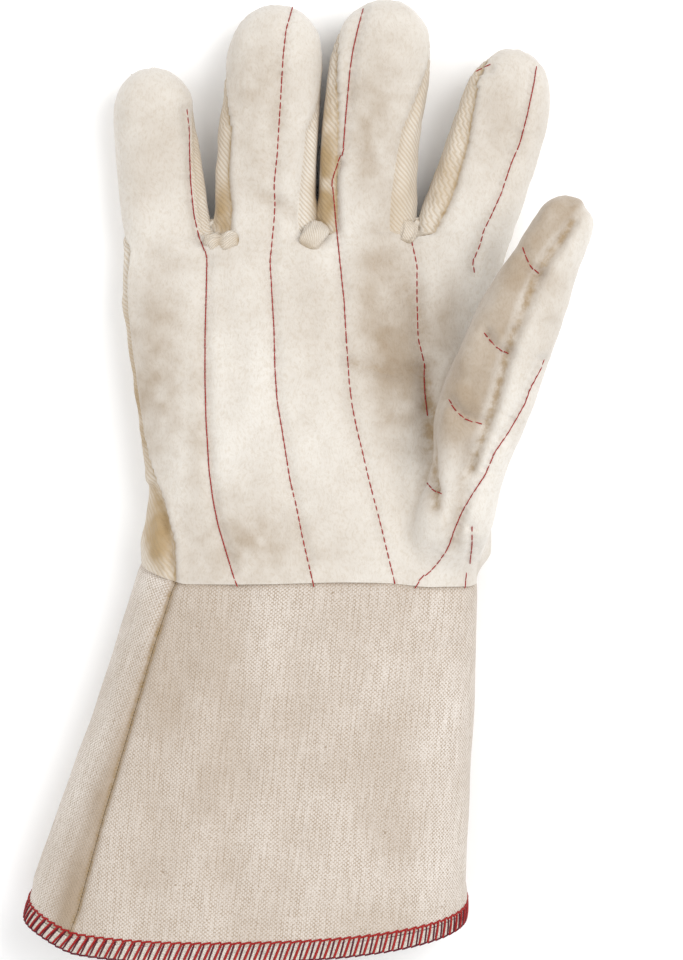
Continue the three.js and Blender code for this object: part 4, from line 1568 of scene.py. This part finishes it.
def stitch_tree(material):
    """Geometry nodes that set thread dashes end to end along lines."""
    tree = bpy.data.node_groups.new("stitches", "GeometryNodeTree")
    tree.interface.new_socket("Geometry", in_out="INPUT", socket_type="NodeSocketGeometry")
    for label, value in (("Pitch", 3.0), ("Dash", 2.8), ("Across", 0.0), ("Thread", 0.5),
                         ("Dip", 0.4)):
        socket = tree.interface.new_socket(label, in_out="INPUT", socket_type="NodeSocketFloat")
        socket.default_value = value * MM
    tree.interface.new_socket("Geometry", in_out="OUTPUT", socket_type="NodeSocketGeometry")
    new, link = tree.nodes.new, tree.links.new
    given, out = new("NodeGroupInput"), new("NodeGroupOutput")

    def calc(operation, a, b):
        node = new("ShaderNodeMath")
        node.operation = operation
        for slot, value in zip(node.inputs, (a, b)):
            if isinstance(value, bpy.types.NodeSocket):
                link(value, slot)
            else:
                slot.default_value = value
        return node.outputs[0]

    def spot(share, height):
        node = new("ShaderNodeCombineXYZ")
        link(calc("MULTIPLY", given.outputs["Dash"], share), node.inputs["X"])
        link(calc("MULTIPLY", given.outputs["Across"], share), node.inputs["Y"])
        link(calc("MULTIPLY", given.outputs["Dip"], height), node.inputs["Z"])
        return node.outputs[0]

    arch = new("GeometryNodeCurveQuadraticBezier")
    arch.inputs["Resolution"].default_value = 6
    link(spot(-0.5, -1.0), arch.inputs["Start"])
    link(spot(0.0, 1.0), arch.inputs["Middle"])
    link(spot(0.5, -1.0), arch.inputs["End"])
    ring = new("GeometryNodeCurvePrimitiveCircle")
    ring.inputs["Resolution"].default_value = 6
    link(calc("MULTIPLY", given.outputs["Thread"], 0.5), ring.inputs["Radius"])
    dash = new("GeometryNodeCurveToMesh")
    link(arch.outputs[0], dash.inputs["Curve"])
    link(ring.outputs[0], dash.inputs["Profile Curve"])
    dash.inputs["Fill Caps"].default_value = True
    path = new("GeometryNodeMeshToCurve")
    link(given.outputs["Geometry"], path.inputs[0])
    even = new("GeometryNodeResampleCurve")
    even.mode = "LENGTH"
    link(path.outputs[0], even.inputs["Curve"])
    link(given.outputs["Pitch"], even.inputs["Length"])
    tangent = new("GeometryNodeInputTangent")
    first = new("FunctionNodeAlignRotationToVector")
    first.axis = "X"
    link(tangent.outputs[0], first.inputs["Vector"])
    facing = new("GeometryNodeInputNamedAttribute")
    facing.data_type = "FLOAT_VECTOR"
    facing.inputs["Name"].default_value = "facing"
    second = new("FunctionNodeAlignRotationToVector")
    second.axis = "Z"
    second.pivot_axis = "X"
    link(first.outputs[0], second.inputs["Rotation"])
    link(facing.outputs["Attribute"], second.inputs["Vector"])
    place = new("GeometryNodeInstanceOnPoints")
    link(even.outputs[0], place.inputs["Points"])
    link(dash.outputs[0], place.inputs["Instance"])
    link(second.outputs[0], place.inputs["Rotation"])
    real = new("GeometryNodeRealizeInstances")
    link(place.outputs[0], real.inputs[0])
    smooth = new("GeometryNodeSetShadeSmooth")
    link(real.outputs[0], smooth.inputs[0])
    wear = new("GeometryNodeSetMaterial")
    wear.inputs["Material"].default_value = material
    link(smooth.outputs[0], wear.inputs[0])
    link(wear.outputs[0], out.inputs[0])
    return tree


# A line of more points than this whose ends are this near, in mm, is closed
CLOSED_OVER = 9
CLOSED_UNDER = 1.6


def line_mesh(name, lines):
    """Lines of points, each with the way its cloth faces. A line that meets itself closes."""
    points, edges, facing = [], [], []
    for line, normals in lines:
        if len(line) < 2:
            continue
        first = len(points)
        points += [tuple(p * MM) for p in line]
        facing += [tuple(n) for n in normals]
        edges += [(first + i, first + i + 1) for i in range(len(line) - 1)]
        if len(line) > CLOSED_OVER and np.linalg.norm(line[-1] - line[0]) < CLOSED_UNDER:
            edges.append((first + len(line) - 1, first))
    mesh = bpy.data.meshes.new(name)
    mesh.from_pydata(points, edges, [])
    attribute = mesh.attributes.new("facing", "FLOAT_VECTOR", "POINT")
    attribute.data.foreach_set("vector", np.array(facing, np.float32).ravel())
    return mesh


def sewn(name, lines, tree, material, **sizes_mm):
    """A piece of thread dashes along lines."""
    piece = new_piece(name, line_mesh(name, lines))
    modifier = piece.modifiers.new("stitches", "NODES")
    modifier.node_group = tree
    for item in tree.interface.items_tree:
        if item.in_out == "INPUT" and item.name in sizes_mm:
            modifier[item.identifier] = sizes_mm[item.name] * MM
    apply_modifiers(piece)
    piece.data.materials.clear()
    piece.data.materials.append(material)
    return piece


def dress(piece, material, nodes=()):
    """Gives a piece its cloth, and says what it rides on and what it stands for."""
    piece.data.materials.clear()
    piece.data.materials.append(material)
    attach(piece, "root")
    if nodes:
        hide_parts(*nodes)


FLOOR_CORNERS = [(-1, -1), (1, -1), (1, 1), (-1, 1)]
FLOOR_REACH = 2500
FLOOR_Z = -0.3


def area_light(name, place, size, watts):
    light = bpy.data.lights.new(name, "AREA")
    light.size = size
    light.energy = watts
    lamp = bpy.data.objects.new(name, light)
    bpy.context.scene.collection.objects.link(lamp)
    lamp.location = place
    lamp.rotation_euler = (-Vector(place)).to_track_quat("-Z", "Y").to_euler()


def studio():
    """A pale floor under soft light, and the camera straight over the glove."""
    scene = bpy.context.scene
    scene.view_settings.view_transform = "Standard"
    camera = bpy.data.cameras.new("camera")
    camera.lens = 150
    camera.sensor_width = 36
    eye = bpy.data.objects.new("camera", camera)
    scene.collection.objects.link(eye)
    eye.location = Vector(CAMERA_AT) * MM
    scene.camera = eye
    corners = [(x * FLOOR_REACH, y * FLOOR_REACH, FLOOR_Z) for x, y in FLOOR_CORNERS]
    floor = new_piece("floor", new_mesh("floor", corners, [(0, 1, 2, 3)]))
    floor.data.materials.append(plain("floor", (0.96, 0.96, 0.96), 0.95))
    area_light("key", (1.1, 0.5, 1.7), 1.4, 27)
    area_light("fill", (-1.3, -0.2, 1.5), 1.8, 13)
    world = bpy.data.worlds.new("world")
    scene.world = world
    world.use_nodes = True
    sky = next(n for n in world.node_tree.nodes if n.type == "BACKGROUND")
    sky.inputs["Color"].default_value = (1, 1, 1, 1)
    sky.inputs["Strength"].default_value = 0.76


def tree_over(piece):
    mesh = piece.data
    return BVHTree.FromPolygons(
        [v.co for v in mesh.vertices], [p.vertices for p in mesh.polygons]
    )


studio()
cotton_shade_and_tone = shade_and_tone_group()
nap = napped_cotton(cotton_shade_and_tone)
twill = twill_cotton(cotton_shade_and_tone)
canvas = cuff_canvas(cotton_shade_and_tone)
red = thread_material("red_thread", RED_THREAD)
dark = thread_material("dark_thread", DARK_THREAD)
white = thread_material("white_thread", WHITE_THREAD)

hand = hand_pieces()
cuff = cuff_pieces()
hem = hem_band()
over_hand = [tree_over(piece) for piece in hand.values()]
folds = {
    key: crotch_fold("crotch_fold_" + key, pixels, over_hand, *sizes)
    for key, (pixels, *sizes) in GUSSETS.items()
}

dress(hand["palm_cloth"], nap, ["palm_panel"])
dress(hand["back_cloth"], twill, ["back_panel"])
dress(hand["thumb_inner_cloth"], nap, ["thumb_inner_panel"])
dress(hand["thumb_outer_cloth"], nap, ["thumb_outer_panel"])
dress(cuff["cuff_palm_cloth"], canvas, ["cuff_palm_panel"])
dress(cuff["cuff_back_cloth"], canvas, ["cuff_back_panel"])
dress(hem, white, ["cuff_hem"])
for key, fold in folds.items():
    dress(fold, twill, ["crotch_gusset_" + key])

stitches = stitch_tree(red)
quilted_lines = (*QUILTING.values(), *THUMB_QUILTING.values())
rows = [laid_line(line, over_hand, STITCH_LIFT) for line in quilted_lines]
quilting = sewn("quilting_thread", rows, stitches, red, Pitch=STITCH_PITCH, Dash=STITCH_DASH,
                Thread=STITCH_THREAD, Dip=STITCH_DIP)
dress(quilting, red)

overlock = hem_threads(stitches, red, dark)
for piece in overlock.values():
    dress(piece, piece.data.materials[0])
